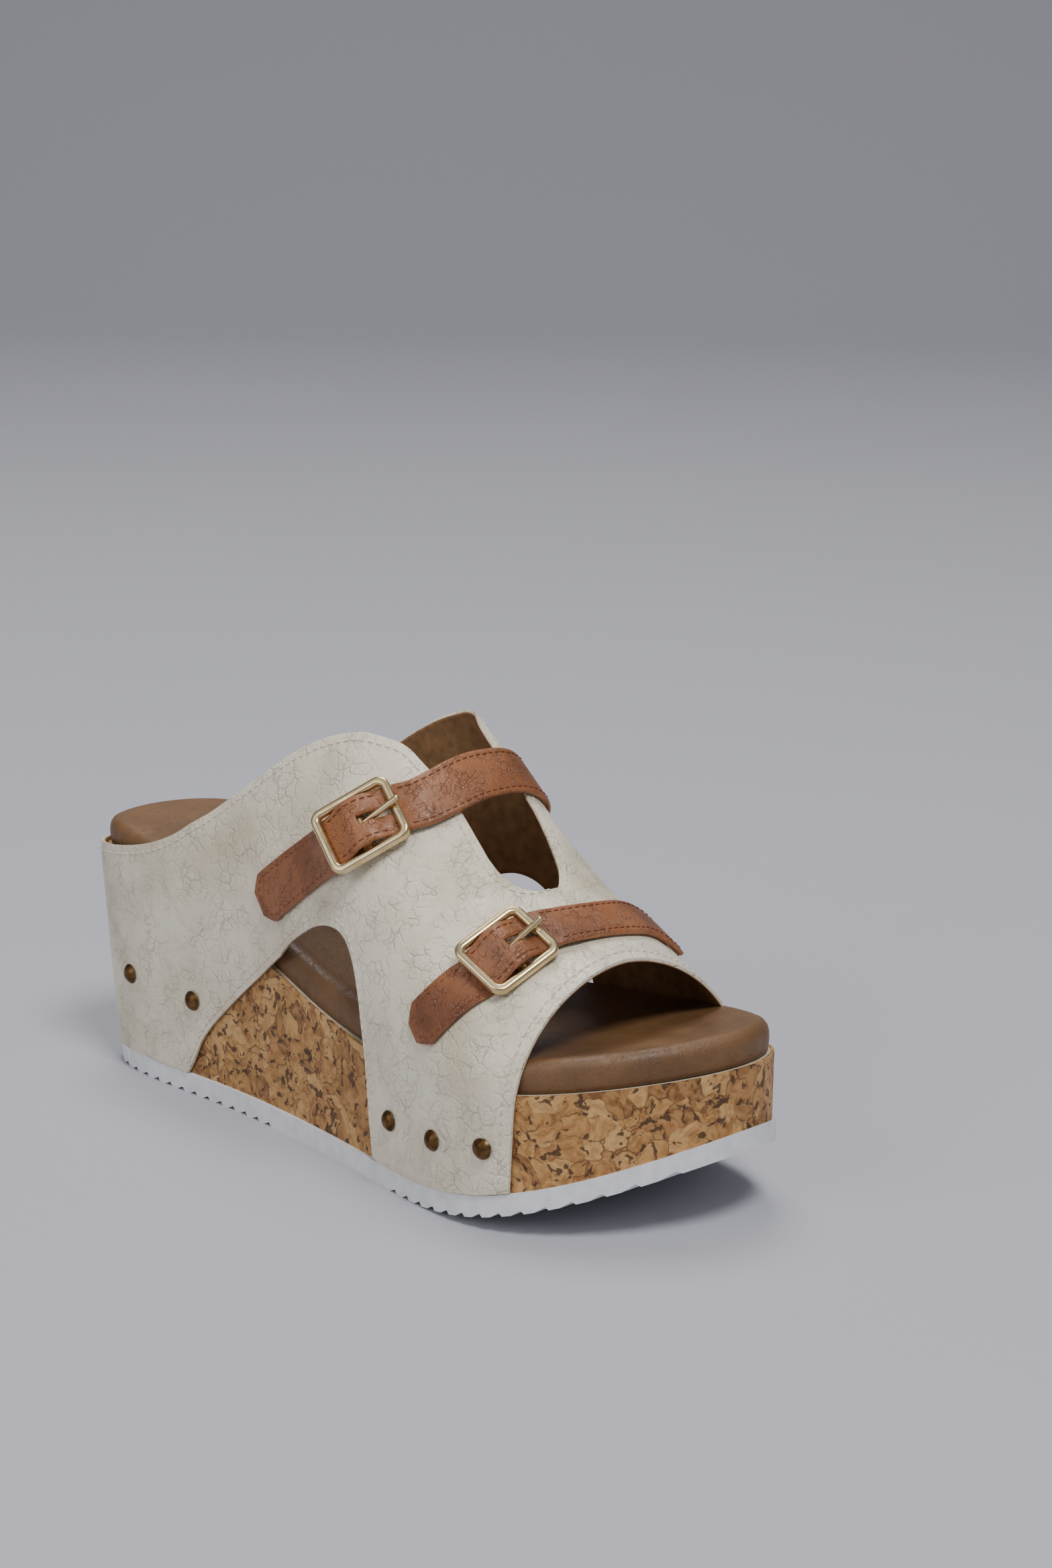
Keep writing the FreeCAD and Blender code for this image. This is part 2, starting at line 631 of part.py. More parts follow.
class Strap:
    """Maps distance along, distance across and height over the upper to a point."""

    def __init__(self, kind):
        data = STRAPS[kind]
        self.edge = spline([V(*p) for p in data["path"]])
        buckle = self.edge.Curve.parameter(V(*data["path"][data["buckle"]]))
        self.before = self.edge.Curve.length(self.edge.FirstParameter, buckle)
        self.after = self.edge.Length - self.before
        self.along = direction(*data["along"])
        self.normal = direction(*data["normal"])
        self.normal = (self.normal - self.along * self.normal.dot(self.along)).normalize()
        self.across = self.normal.cross(self.along)
        self.centre = at(*data["centre"])
        self.foot = self.centre - self.normal * dim("frame_height")

    def on_skin(self, s, w, h):
        """Point laid on the upper's surface."""
        length = min(max(self.before + s, 0.01), self.edge.Length - 0.01)
        parameter = self.edge.getParameterByLength(length)
        u, v, z = self.edge.valueAt(parameter)
        tangent = self.edge.tangentAt(parameter)
        b, angle = u, skin_angle(u, v, z)
        step_b = skin(b + 0.5, angle, UPPER_OUTSIDE) - skin(b - 0.5, angle, UPPER_OUTSIDE)
        step_a = skin(b, angle + 0.5, UPPER_OUTSIDE) - skin(b, angle - 0.5, UPPER_OUTSIDE)
        normal = step_b.cross(step_a).normalize()
        if normal.z < 0:
            normal = normal * -1
        across = normal.cross(tangent).normalize() * w
        bb, ba, aa = step_b.dot(step_b), step_b.dot(step_a), step_a.dot(step_a)
        rb, ra = across.dot(step_b), across.dot(step_a)
        b += (rb * aa - ra * ba) / (bb * aa - ba * ba)
        angle += (ra * bb - rb * ba) / (bb * aa - ba * ba)
        local = skin_normal(b, angle)
        if local.dot(normal) < 0:
            local = local * -1
        return at(*(skin(b, angle, UPPER_OUTSIDE) + local * h))

    def point(self, s, w, h):
        """Point over the upper, on the buckle's own plane near its bar."""
        laid = self.on_skin(s, -w, h)
        flat = self.foot + self.along * s + self.across * w + self.normal * h
        share = min(1.0, max(0.0, (abs(s) - 7) / 15))
        share = share * share * (3 - 2 * share)
        return flat * (1 - share) + laid * share

    def strip(self, start, end, width, height, thickness, clip=0.0):
        """Strip between two distances along, with its first end clipped."""
        count = max(4, int((end - start) / 1.5))
        grids = ([], [])
        for k in range(count + 1):
            s = start + (end - start) * k / count
            half = width / 2 - max(0.0, clip - (s - start))
            for grid, rise in zip(grids, (0, thickness)):
                grid.append([self.point(s, half * j / 4, height(s) + rise) for j in range(-4, 5)])
        return slab(*grids)


def strap_height(s):
    return smooth(STRAP_HEIGHT, s)


def strap_and_buckle(kind):
    """All the pieces of one strap."""
    strap = Strap(kind)
    prefix = "dimensions." + kind
    width = dim(kind + "_strap_width")
    thick, backing = dim("strap_thickness"), dim("backing_thickness")
    bar_length = dim(kind + "_frame_width") - 2 * dim("frame_wire") + 2 * dim("bar_sink")
    upright = frame_at(strap.centre, strap.along, strap.normal)

    band_shape = strap.strip(STRAP_TAIL, strap.after - 1, width, strap_height, thick)
    slot = Part.makeBox(10.8, 3.4, 14, V(0.2, -1.7, 0))
    slot.Placement = upright
    coded(kind + "_strap", trimmed(band_shape.cut(slot), (upper,)))
    lining_strip = strap.strip(BACKING_START, strap.after - 2, width - 1.6,
                               lambda s: strap_height(s) - backing - 0.02, backing)
    coded(kind + "_strap_backing", trimmed(lining_strip, (upper,)))

    loop_inner = dim("bar_radius") + dim("loop_clearance")
    tab = strap.strip(2 - strap.before, -0.2, width, lambda s: smooth(TAB_HEIGHT, s), dim("tab_thickness"),
                      dim("end_clip"))
    side = strap.across * (width / 2 - 0.2)
    ring = Part.makeCylinder(loop_inner + 1.0, width - 0.4, strap.centre - side, strap.across)
    hollow = Part.makeCylinder(loop_inner, width + 4, strap.centre - side - strap.across * 2, strap.across)
    notch = Part.makeCylinder(loop_inner + 1.45, 3.6, strap.centre - strap.across * 1.8, strap.across)
    coded(kind + "_tab", trimmed(tab.fuse(ring).cut(hollow).cut(notch), (upper,)))

    body = document.addObject("PartDesign::Body", kind + "_buckle_frame")
    pad = body.newObject("PartDesign::Pad", kind + "_frame_pad")
    sketch = body_sketch(body, kind + "_frame_outline", "XY_Plane")
    for half_l, half_w, corner in frame_rings(kind):
        rounded_rectangle(sketch, half_l, half_w, corner)
    pad.Profile = sketch
    pad.Midplane = True
    pad.setExpression("Length", "dimensions.frame_wire")
    document.recompute()
    fillet = body.newObject("PartDesign::Fillet", kind + "_frame_round")
    flat = ["Edge%d" % (k + 1) for k, edge in enumerate(pad.Shape.Edges)
            if abs(edge.BoundBox.ZMax - edge.BoundBox.ZMin) < 1e-6]
    fillet.Base = (pad, flat)
    fillet.setExpression("Radius", "dimensions.frame_edge")
    body.Tip = fillet
    body.Placement = upright
    keep(kind + "_buckle_frame", body)

    across = frame_at(strap.centre - strap.across * (bar_length / 2), strap.normal, strap.across)
    keep(kind + "_buckle_bar", primitive(
        "Cylinder", kind + "_bar", across, Radius="dimensions.bar_radius",
        Height="%s_frame_width - 2 * dimensions.frame_wire + 2 * dimensions.bar_sink" % prefix))

    rise = math.radians(dim("prong_rise"))
    lift = (strap.along * math.cos(rise) + strap.normal * math.sin(rise)).normalize()
    eye_half = dim("prong_eye_width") / 2
    eye = primitive("Cylinder", kind + "_eye", frame_at(strap.centre - strap.across * eye_half, strap.normal,
                                                         strap.across),
                    Radius="dimensions.prong_eye_bore + dimensions.prong_eye_wall",
                    Height="dimensions.prong_eye_width")
    bore = primitive("Cylinder", kind + "_bore", frame_at(strap.centre - strap.across * (eye_half + 1),
                                                           strap.normal, strap.across),
                     Radius="dimensions.prong_eye_bore", Height="dimensions.prong_eye_width + 2")
    shank = primitive("Cylinder", kind + "_shank", frame_at(strap.centre, strap.across, lift),
                      Radius="dimensions.prong_radius",
                      Height="%s_frame_length / 2 + dimensions.prong_overhang - dimensions.prong_radius" % prefix)
    tip = primitive("Sphere", kind + "_tip",
                    frame_at(strap.centre + lift * (dim(kind + "_frame_length") / 2 + dim("prong_overhang")
                                                    - dim("prong_radius")), strap.across, lift),
                    Radius="dimensions.prong_radius")
    joined = document.addObject("Part::MultiFuse", kind + "_prong_blank")
    joined.Shapes = [eye, shank, tip]
    prong = document.addObject("Part::Cut", kind + "_prong")
    prong.Base = joined
    prong.Tool = bore
    keep(kind + "_buckle_prong", prong)
    return strap


def frame_rings(kind):
    """Half length, half width and corner radius of the frame's outer and inner outline."""
    half_l, half_w = dim(kind + "_frame_length") / 2, dim(kind + "_frame_width") / 2
    wire, corner = dim("frame_wire"), dim("frame_corner")
    return [(half_l, half_w, corner), (half_l - wire, half_w - wire, corner - wire + 0.3)]


def rounded_rectangle(sketch, half_l, half_w, corner):
    """Closed rounded rectangle about the sketch's origin."""
    for sx, sy, start in ((1, 1, 0), (-1, 1, 90), (-1, -1, 180), (1, -1, 270)):
        centre = V(sx * (half_l - corner), sy * (half_w - corner), 0)
        circle = Part.Circle(centre, V(0, 0, 1), corner)
        sketch.addGeometry(Part.ArcOfCircle(circle, math.radians(start), math.radians(start + 90)), False)
    inner_l, inner_w = half_l - corner, half_w - corner
    for a, b in ((V(half_l, -inner_w, 0), V(half_l, inner_w, 0)), (V(inner_l, half_w, 0), V(-inner_l, half_w, 0)),
                 (V(-half_l, inner_w, 0), V(-half_l, -inner_w, 0)),
                 (V(-inner_l, -half_w, 0), V(inner_l, -half_w, 0))):
        sketch.addGeometry(Part.LineSegment(a, b), False)


straps = {kind: strap_and_buckle(kind) for kind in STRAPS}
document.recompute()

# ---------------------------------------------------------------- checks and export

for item in document.Objects:
    if set(item.State) & {"Invalid", "Error"}:
        raise ValueError("%s is in state %s" % (item.Name, item.State))
os.makedirs("parts", exist_ok=True)
for name, item in NODES.items():
    shape = item.Shape
    if shape.isNull() or not shape.isValid() or not shape.Solids:
        raise ValueError("%s has no valid shape" % name)
    shape.exportStep("parts/%s.step" % name)
for kind, strap in straps.items():
    print(kind, "hinge", strap.centre, strap.across)
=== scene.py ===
"""Wedge sandal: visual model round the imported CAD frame.

Metres, toe towards -Y, outer side towards -X.  The upper, its lining, the footbed, the straps and the
stitching are made here from shape formulas like the CAD's; the other pieces are the CAD nodes with their own
materials.
"""
import math

import bmesh
import bpy
import numpy as np
from mathutils import Matrix, Vector
from mathutils.bvhtree import BVHTree


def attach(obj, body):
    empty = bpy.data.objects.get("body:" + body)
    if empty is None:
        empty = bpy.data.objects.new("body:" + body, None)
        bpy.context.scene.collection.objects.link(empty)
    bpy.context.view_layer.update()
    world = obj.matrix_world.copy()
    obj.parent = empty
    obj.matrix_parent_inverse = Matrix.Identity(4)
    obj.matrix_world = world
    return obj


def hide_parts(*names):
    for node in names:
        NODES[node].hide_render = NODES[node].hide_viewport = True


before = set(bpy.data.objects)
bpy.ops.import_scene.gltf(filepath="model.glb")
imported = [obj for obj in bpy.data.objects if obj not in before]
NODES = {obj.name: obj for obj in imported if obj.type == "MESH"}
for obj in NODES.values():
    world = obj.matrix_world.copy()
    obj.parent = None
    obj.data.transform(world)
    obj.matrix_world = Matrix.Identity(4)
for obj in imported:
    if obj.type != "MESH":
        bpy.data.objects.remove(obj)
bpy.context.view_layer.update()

MM = 0.001

# ---------------------------------------------------------------- shape, in shoe coordinates and millimetres

# Outline (u, v) of the sole, once round.
SOLE_OUTLINE = [
    (0, 4), (6, 22), (30, 29.5), (70, 31), (110, 35.5), (150, 43), (180, 49), (210, 50), (238, 35.5),
    (256, 12), (262, -9), (257, -29.5), (238, -43), (205, -49), (170, -44), (130, -34.5), (90, -30),
    (50, -31), (22, -26), (4, -12),
]

# Height of the wedge's top against u.
WEDGE_TOP = [
    (-20, 75), (0, 76), (20, 76), (60, 67), (120, 46.5), (180, 41), (220, 44.5), (262, 51), (285, 54),
]

# Sections of the upper: u, crown v, crown z, shoulder z, outer roundness, inner roundness.
SECTIONS = [
    (60, -6, 152, 62, 2.0, 2.8),
    (90, -8, 153, 61, 2.0, 3.0),
    (110, -9.5, 150.5, 58.5, 2.0, 3.0),
    (125, -10, 145, 55.5, 2.05, 3.0),
    (140, -10, 132.5, 52, 2.1, 3.0),
    (155, -8.5, 118, 47.5, 2.1, 2.8),
    (170, -6.5, 105, 44, 2.1, 2.5),
    (185, -4, 94, 41.5, 2.1, 2.3),
    (200, -2, 86.5, 40, 2.05, 2.1),
    (212, 0, 81.5, 39, 2.0, 1.9),
    (232, 3, 74, 38, 2.0, 1.7),
]

# Stations of the upper on each side: place, rule and value of the lower end, then of the upper end.
OUTER_PATTERN = [
    (0, "ground", 0, 0, "z", 76.3), (12, "ground", 0, 12, "z", 76.8), (24, "ground", 0, 24, "z", 79),
    (36, "ground", 0, 36, "z", 83.5), (45, "ground", 0, 46, "z", 89), (51, "ground", 0, 53, "z", 94),
    (54, "z", 11.5, 58, "z", 97), (61, "z", 23, 65, "z", 101.5), (75, "z", 37, 75, "z", 109),
    (90, "z", 50, 85, "z", 116.5), (104, "z", 62.5, 95, "z", 124), (117, "z", 72.5, 106, "z", 130),
    (127, "z", 76.2, 117, "z", 133.4), (135, "z", 75.5, 127, "z", 133.2),
    (141, "z", 70.5, 135, "z", 130.6), (145.5, "z", 62, 142, "v", 9.3), (149, "z", 50, 149, "v", 8),
    (152, "z", 35, 157, "v", 8.2), (154, "z", 20, 165, "v", 9.3), (156, "ground", 1, 172, "v", 10.6),
    (161, "ground", 0, 178, "v", 10.6), (169, "ground", 0, 183.5, "v", 8.4),
    (177, "ground", 0, 187.2, "v", 3.6), (185, "ground", 0, 188, "crown", 0),
    (196, "ground", 0, 197, "crown", 0), (207, "ground", 0, 209, "crown", 0),
    (218.5, "ground", 0, 222.3, "crown", 0),
]

INNER_PATTERN = [
    (0, "ground", 0, 0, "z", 76.3), (12, "ground", 0, 12, "z", 76.8), (24, "ground", 0, 24, "z", 79),
    (36, "ground", 0, 36, "z", 84), (45, "ground", 0, 46, "z", 89.5), (51, "ground", 0, 53, "z", 95),
    (55, "z", 13, 59, "z", 98), (64, "z", 26, 67, "z", 103.5), (78, "z", 40, 77, "z", 110),
    (94, "z", 53, 88, "z", 117), (109, "z", 65, 99, "z", 124), (122, "z", 74.5, 110, "z", 130),
    (132, "z", 80.5, 120, "z", 134), (141, "z", 82, 129, "z", 136), (149, "z", 79, 135.5, "v", -20),
    (157, "z", 71, 141, "v", -18.7), (163, "z", 61, 148, "v", -19), (168, "z", 47, 155, "v", -19.7),
    (171.5, "z", 32, 162, "v", -19.2), (174, "z", 17, 169, "v", -17),
    (177, "ground", 1, 175.5, "v", -14), (184, "ground", 0, 181.5, "v", -10.5),
    (193, "ground", 0, 186.2, "v", -6), (202, "ground", 0, 188, "crown", 0),
    (211, "ground", 0, 197, "crown", 0), (220, "ground", 0, 209, "crown", 0),
    (228.5, "ground", 0, 222.3, "crown", 0),
]

LENGTH = 262.0
GROUND_TO_WEDGE = 7.0
UPPER_LIFT = 0.3
SPRING_START = 171.0
TOE_SPRING = 24.0
HEEL_TOP = 76.0
HEEL_FLARE = 6.7
FLARE_REACH = 110.0
HEEL_CENTRE = 60.0
HEEL_SHOULDER = 78.0
LINING_INSIDE = -0.1
UPPER_INSIDE = 0.25
UPPER_OUTSIDE = 1.25


def at(u, v, z):
    """A point given in shoe coordinates (mm), in the row frame (m)."""
    return Vector((-v, LENGTH / 2 - u, z)) * MM


def smooth(rows, x, column=1):
    """Cubic Hermite interpolation of one column of a table of stations sorted by their first column."""
    last = len(rows) - 1
    x = min(max(x, rows[0][0]), rows[last][0])
    i = max(k for k in range(last) if rows[k][0] <= x)

    def slope(k):
        lower, upper = max(k - 1, 0), min(k + 1, last)
        return (rows[upper][column] - rows[lower][column]) / (rows[upper][0] - rows[lower][0])

    x0, x1 = rows[i][0], rows[i + 1][0]
    step = x1 - x0
    t = (x - x0) / step
    return ((1 + 2 * t) * (1 - t) ** 2 * rows[i][column] + t * (1 - t) ** 2 * step * slope(i)
            + t * t * (3 - 2 * t) * rows[i + 1][column] + t * t * (t - 1) * step * slope(i + 1))


def closed_curve(points, count=720):
    """Samples and outward normals of the periodic cubic spline through the points."""
    p = np.array(points, float)
    n = len(p)
    h = np.linalg.norm(np.roll(p, -1, axis=0) - p, axis=1)
    system, right = np.zeros((n, n)), np.zeros((n, 2))
    for i in range(n):
        before, after = h[i - 1], h[i]
        system[i, i - 1] += after
        system[i, i] += 2 * (before + after)
        system[i, (i + 1) % n] += before
        right[i] = 3 * (after * (p[i] - p[i - 1]) / before + before * (p[(i + 1) % n] - p[i]) / after)
    slopes = np.linalg.solve(system, right)
    total = h.sum()
    starts = np.concatenate([[0], np.cumsum(h)])
    samples = []
    for k in range(count):
        s = total * k / count
        i = min(int(np.searchsorted(starts, s, side="right")) - 1, n - 1)
        t = (s - starts[i]) / h[i]
        a, b = p[i], p[(i + 1) % n]
        ma, mb = slopes[i] * h[i], slopes[(i + 1) % n] * h[i]
        point = ((2 * t ** 3 - 3 * t ** 2 + 1) * a + (t ** 3 - 2 * t ** 2 + t) * ma
                 + (3 * t ** 2 - 2 * t ** 3) * b + (t ** 3 - t ** 2) * mb)
        way = ((6 * t ** 2 - 6 * t) * a + (3 * t ** 2 - 4 * t + 1) * ma + (6 * t - 6 * t ** 2) * b
               + (3 * t ** 2 - 2 * t) * mb)
        way /= np.linalg.norm(way)
        samples.append((point[0], point[1], -way[1], way[0]))
    return samples


OUTLINE = closed_curve(SOLE_OUTLINE)
WIDTHS = {}
for SIDE in (1, -1):
    ring = sorted((s[0], s[1]) for s in OUTLINE if s[1] * SIDE > 0 and 8 < s[0] < LENGTH - 3)
    WIDTHS[SIDE] = ([r[0] for r in ring], [r[1] for r in ring])


def half_width(u, side):
    """v of the sole outline at u on the outer (+1) or inner (-1) side."""
    return float(np.interp(u, *WIDTHS[side]))


def flare(u, z):
    """How far the wall leans out past the sole outline round the heel."""
    weight = max(0.0, 1 - u / FLARE_REACH) ** 1.5
    return HEEL_FLARE * weight * (z - GROUND_TO_WEDGE) / (HEEL_TOP - GROUND_TO_WEDGE)


def spring_height(u):
    """Height of the outsole's underside over the ground."""
    return TOE_SPRING * max(0.0, (u - SPRING_START) / (LENGTH - SPRING_START)) ** 2


def section(b):
    """Crown v and z, shoulder z and the two roundnesses of the section at b."""
    values = [smooth(SECTIONS, b, column) for column in range(1, 6)]
    values[2] += (HEEL_SHOULDER - values[2]) * max(0.0, 1 - b / HEEL_CENTRE)
    return values


def heel_foot(b, side):
    """Outline point under place b, by even turns round the heel."""
    centre = np.array([HEEL_CENTRE, SECTIONS[0][1]])
    turn = math.radians(side * (180 - 90 * b / HEEL_CENTRE))
    ray = np.array([math.cos(turn), math.sin(turn)])
    ahead = np.array([[s[0], s[1]] for s in OUTLINE]) - centre
    forward = ahead @ ray
    sideways = ray[0] * ahead[:, 1] - ray[1] * ahead[:, 0]
    angles = np.arctan2(sideways, forward)
    front = np.where((forward > 0) & (angles >= 0), angles, 9).argmin()
    back = np.where((forward > 0) & (angles < 0), angles, -9).argmax()
    share = -angles[back] / (angles[front] - angles[back])
    return centre + ahead[back] + (ahead[front] - ahead[back]) * share


HEEL_STEP = 0.5
HEEL_FEET = {side: [heel_foot(k * HEEL_STEP, side) for k in range(int(HEEL_CENTRE / HEEL_STEP) + 1)]
             for side in (1, -1)}


def foot_of(b, side):
    """Outline point (u, v) under place b."""
    if b >= HEEL_CENTRE:
        return np.array([b, half_width(b, side)])
    place = min(max(b, 0.0) / HEEL_STEP, len(HEEL_FEET[side]) - 1.001)
    k = int(place)
    return HEEL_FEET[side][k] * (1 - place + k) + HEEL_FEET[side][k + 1] * (place - k)


def skin(b, angle, offset):
    """Point (u, v, z) of the upper at place b: angle 0 outer shoulder, 90 crown, 180 inner shoulder."""
    crown_v, crown_z, shoulder, outer, inner = section(b)
    side = 1 if angle <= 90 else -1
    roundness = outer if side > 0 else inner
    lean = angle if side > 0 else 180 - angle
    centre = np.array([max(b, HEEL_CENTRE), crown_v])
    foot = foot_of(b, side)
    radial = foot - centre
    reach = np.linalg.norm(radial)
    radial = radial / reach
    reach += offset
    if lean <= 0:
        height = shoulder + lean
        out = centre + radial * (reach + flare(foot[0], height))
        return np.array([out[0], out[1], height])
    across = max(0.0, math.cos(math.radians(lean))) ** (2 / roundness)
    rise = math.sin(math.radians(lean)) ** (2 / roundness)
    out = centre + radial * ((reach + flare(foot[0], shoulder)) * across)
    return np.array([out[0], out[1], shoulder + (crown_z + offset - shoulder) * rise])


def pattern_angle(b, kind, value, side):
    """Angle of one end of a pattern station."""
    crown_v, crown_z, shoulder, outer, inner = section(b)
    roundness = outer if side > 0 else inner
    if kind == "crown":
        lean = 90.0
    elif kind == "ground":
        lean = GROUND_TO_WEDGE + UPPER_LIFT + spring_height(foot_of(b, side)[0]) + value - shoulder
    elif kind == "v":
        share = (value - crown_v) / (half_width(b, side) - crown_v)
        lean = math.degrees(math.acos(share ** (roundness / 2)))
    elif value <= shoulder:
        lean = value - shoulder
    else:
        lean = math.degrees(math.asin(((value - shoulder) / (crown_z - shoulder)) ** (roundness / 2)))
    return lean if side > 0 else 180 - lean


def stations(pattern, side):
    """Pattern rows as (number, low b, low angle, high b, high angle)."""
    return [(k, row[0], pattern_angle(row[0], row[1], row[2], side),
             row[3], pattern_angle(row[3], row[4], row[5], side)) for k, row in enumerate(pattern)]


STATIONS = {1: stations(OUTER_PATTERN, 1), -1: stations(INNER_PATTERN, -1)}
LAST_STATION = 26
THROAT_END = 23
TOE_SPACING = 11.5
LINES = 6
ACROSS = 48

# Patches of the upper: side, first and last station.  The ones in GROUNDED end at the outsole.
PATCHES = [(1, 0, 5), (1, 5, 19), (1, 19, THROAT_END), (1, THROAT_END, LAST_STATION),
           (-1, 0, 5), (-1, 5, 20), (-1, 20, THROAT_END), (-1, THROAT_END, LAST_STATION)]
GROUNDED = {(1, 0), (1, 19), (1, THROAT_END), (-1, 0), (-1, 20), (-1, THROAT_END)}


def grid_line(rows, number, offset, count=ACROSS):
    """Points from the lower to the upper edge of the pattern at a station number."""
    low_b, low, high_b, high = [smooth(rows, number, column) for column in (1, 2, 3, 4)]
    return [at(*skin(low_b + (high_b - low_b) * j / count, low + (high - low) * j / count, offset))
            for j in range(count + 1)]


def patch_grid(side, first, last, offset):
    """Grid over one patch of the upper between two corners of its pattern."""
    rows = STATIONS[side][first:last + 1]
    return [grid_line(rows, first + k / LINES, offset) for k in range((last - first) * LINES + 1)]


# ---------------------------------------------------------------- materials

def hue(red, green, blue):
    """Linear colour from 0-255 display values."""
    return tuple(((c / 255 + 0.055) / 1.055) ** 2.4 if c > 10 else c / 255 / 12.92
                 for c in (red, green, blue)) + (1.0,)


def grey(level):
    """Opaque grey for a ramp."""
    return (level, level, level, 1)


class Shader:
    """A principled material with short ways to add nodes."""

    def __init__(self, name, roughness, metallic=0.0, **fixed):
        self.material = bpy.data.materials.new(name)
        self.material.use_nodes = True
        self.tree = self.material.node_tree
        self.surface = self.tree.nodes["Principled BSDF"]
        self.surface.inputs["Roughness"].default_value = roughness
        self.surface.inputs["Metallic"].default_value = metallic
        for socket, value in fixed.items():
            self.surface.inputs[socket.replace("_", " ")].default_value = value
        self.place = self.tree.nodes.new("ShaderNodeTexCoord").outputs["Object"]

    def node(self, kind, inputs=None, **settings):
        made = self.tree.nodes.new("ShaderNode" + kind)
        for key, value in settings.items():
            setattr(made, key, value)
        for key, value in (inputs or {}).items():
            self.feed(value, made.inputs[key])
        return made

    def feed(self, value, socket):
        if isinstance(value, bpy.types.NodeSocket):
            self.tree.links.new(value, socket)
        else:
            socket.default_value = value

    def noise(self, scale, detail, place=None):
        inputs = {"Vector": place or self.place, "Scale": scale, "Detail": detail}
        return self.node("TexNoise", inputs).outputs["Fac"]

    def ramp(self, value, *stops):
        made = self.node("ValToRGB", {"Fac": value})
        ramp = made.color_ramp
        while len(ramp.elements) < len(stops):
            ramp.elements.new(0.5)
        for element, (position, colour) in zip(ramp.elements, stops):
            element.position = position
            element.color = colour
        return made.outputs["Color"]

    def mix(self, share, first, second):
        made = self.node("Mix", data_type="RGBA")
        self.feed(share, made.inputs[0])
        self.feed(first, made.inputs[6])
        self.feed(second, made.inputs[7])
        return made.outputs[2]

    def maths(self, operation, first, second):
        made = self.node("Math", operation=operation)
        self.feed(first, made.inputs[0])
        self.feed(second, made.inputs[1])
        return made.outputs[0]

    def warped(self, scale, amount):
        """Object coordinates pushed about by noise."""
        wobble = self.node("TexNoise", {"Vector": self.place, "Scale": scale, "Detail": 3.0}).outputs["Color"]
        shift = self.node("VectorMath", {0: wobble, 1: (0.5, 0.5, 0.5)}, operation="SUBTRACT").outputs[0]
        scaled = self.node("VectorMath", {0: shift}, operation="SCALE")
        scaled.inputs["Scale"].default_value = amount
        return self.node("VectorMath", {0: self.place, 1: scaled.outputs[0]}, operation="ADD").outputs[0]

    def bump(self, height, distance, strength=1.0):
        made = self.node("Bump", {"Height": height, "Distance": distance, "Strength": strength})
        self.feed(made.outputs[0], self.surface.inputs["Normal"])

    def colour(self, value):
        self.feed(value, self.surface.inputs["Base Color"])

    def roughness(self, value):
        self.feed(value, self.surface.inputs["Roughness"])


def crinkles(shader, scale, place):
    """Fine leather creases: thin lines between warped cells, at two sizes."""
    heights = []
    for size in (scale, scale * 2.3):
        cells = shader.node("TexVoronoi", {"Vector": place, "Scale": size}, feature="DISTANCE_TO_EDGE")
        heights.append(shader.maths("DIVIDE", shader.maths("MINIMUM", cells.outputs["Distance"], 0.11), 0.11))
    both = shader.maths("ADD", heights[0], shader.maths("MULTIPLY", heights[1], 0.45))
    broken = shader.ramp(shader.noise(scale * 0.55, 3), (0.4, grey(0.15)), (0.62, grey(1)))
    depth = shader.maths("SUBTRACT", 1.45, both)
    return shader.maths("SUBTRACT", 1.0, shader.maths("MULTIPLY", depth, broken))


def leather(name, base, dark, light, scale, depth, roughness, coat, crease_shade):
    """Grained leather with creases, blotches and a soft sheen; the crease lines are also darkened in colour
    as painted shade.
    """
    shader = Shader(name, roughness, Coat_Weight=coat, Coat_Roughness=0.32)
    place = shader.warped(120, 0.006)
    grain = crinkles(shader, scale, place)
    blotch = shader.ramp(shader.noise(38, 5), (0.3, dark), (0.52, base), (0.75, light))
    # Painted shade: the crease lines are mixed towards the dark tone in the base colour.
    crease_shade_mask = shader.maths("MULTIPLY", shader.maths("SUBTRACT", 1.0, grain), crease_shade)
    crease_shade_mask.node.use_clamp = True
    shader.colour(shader.mix(crease_shade_mask, blotch, dark))
    fine = shader.noise(1500, 3)
    swell = shader.noise(scale * 0.4, 3)
    relief = shader.maths("ADD", grain, shader.maths("MULTIPLY", fine, 0.25))
    shader.bump(shader.maths("ADD", relief, shader.maths("MULTIPLY", swell, 1.2)), depth)
    gloss = shader.ramp(shader.noise(90, 4), (0.35, grey(roughness - 0.07)), (0.7, grey(roughness + 0.1)))
    shader.roughness(gloss)
    return shader.material


def cork():
    """Pressed cork: tan chips of many tones with dark gaps, flecks and pits."""
    shader = Shader("cork_chips", 0.6)
    place = shader.warped(90, 0.010)
    chips = shader.node("TexVoronoi", {"Vector": place, "Scale": 150.0})
    tone = shader.ramp(chips.outputs["Color"], (0.12, hue(120, 74, 34)), (0.35, hue(164, 114, 60)),
                       (0.6, hue(186, 138, 80)), (0.85, hue(208, 164, 106)))
    streak = shader.ramp(shader.noise(420, 5, place), (0.38, hue(120, 76, 36)), (0.58, hue(206, 162, 104)))
    tone = shader.mix(0.38, tone, streak)
    edges = shader.node("TexVoronoi", {"Vector": place, "Scale": 150.0}, feature="DISTANCE_TO_EDGE")
    gap = shader.ramp(edges.outputs["Distance"], (0.0, grey(1)), (0.05, grey(0)))
    broken = shader.ramp(shader.noise(130, 3), (0.42, grey(0)), (0.56, grey(1)))
    gaps = shader.maths("MULTIPLY", shader.maths("MULTIPLY", gap, broken), 0.9)
    tone = shader.mix(gaps, tone, hue(82, 46, 20))
    pits = shader.ramp(shader.noise(330, 6, place), (0.585, grey(0)), (0.625, grey(1)))
    shader.colour(shader.mix(shader.maths("MULTIPLY", pits, 0.88), tone, hue(66, 38, 16)))
    depth = shader.maths("SUBTRACT", shader.noise(300, 5, place), shader.maths("MULTIPLY", pits, 0.5))
    shader.bump(depth, 0.0009, 0.8)
    return shader.material


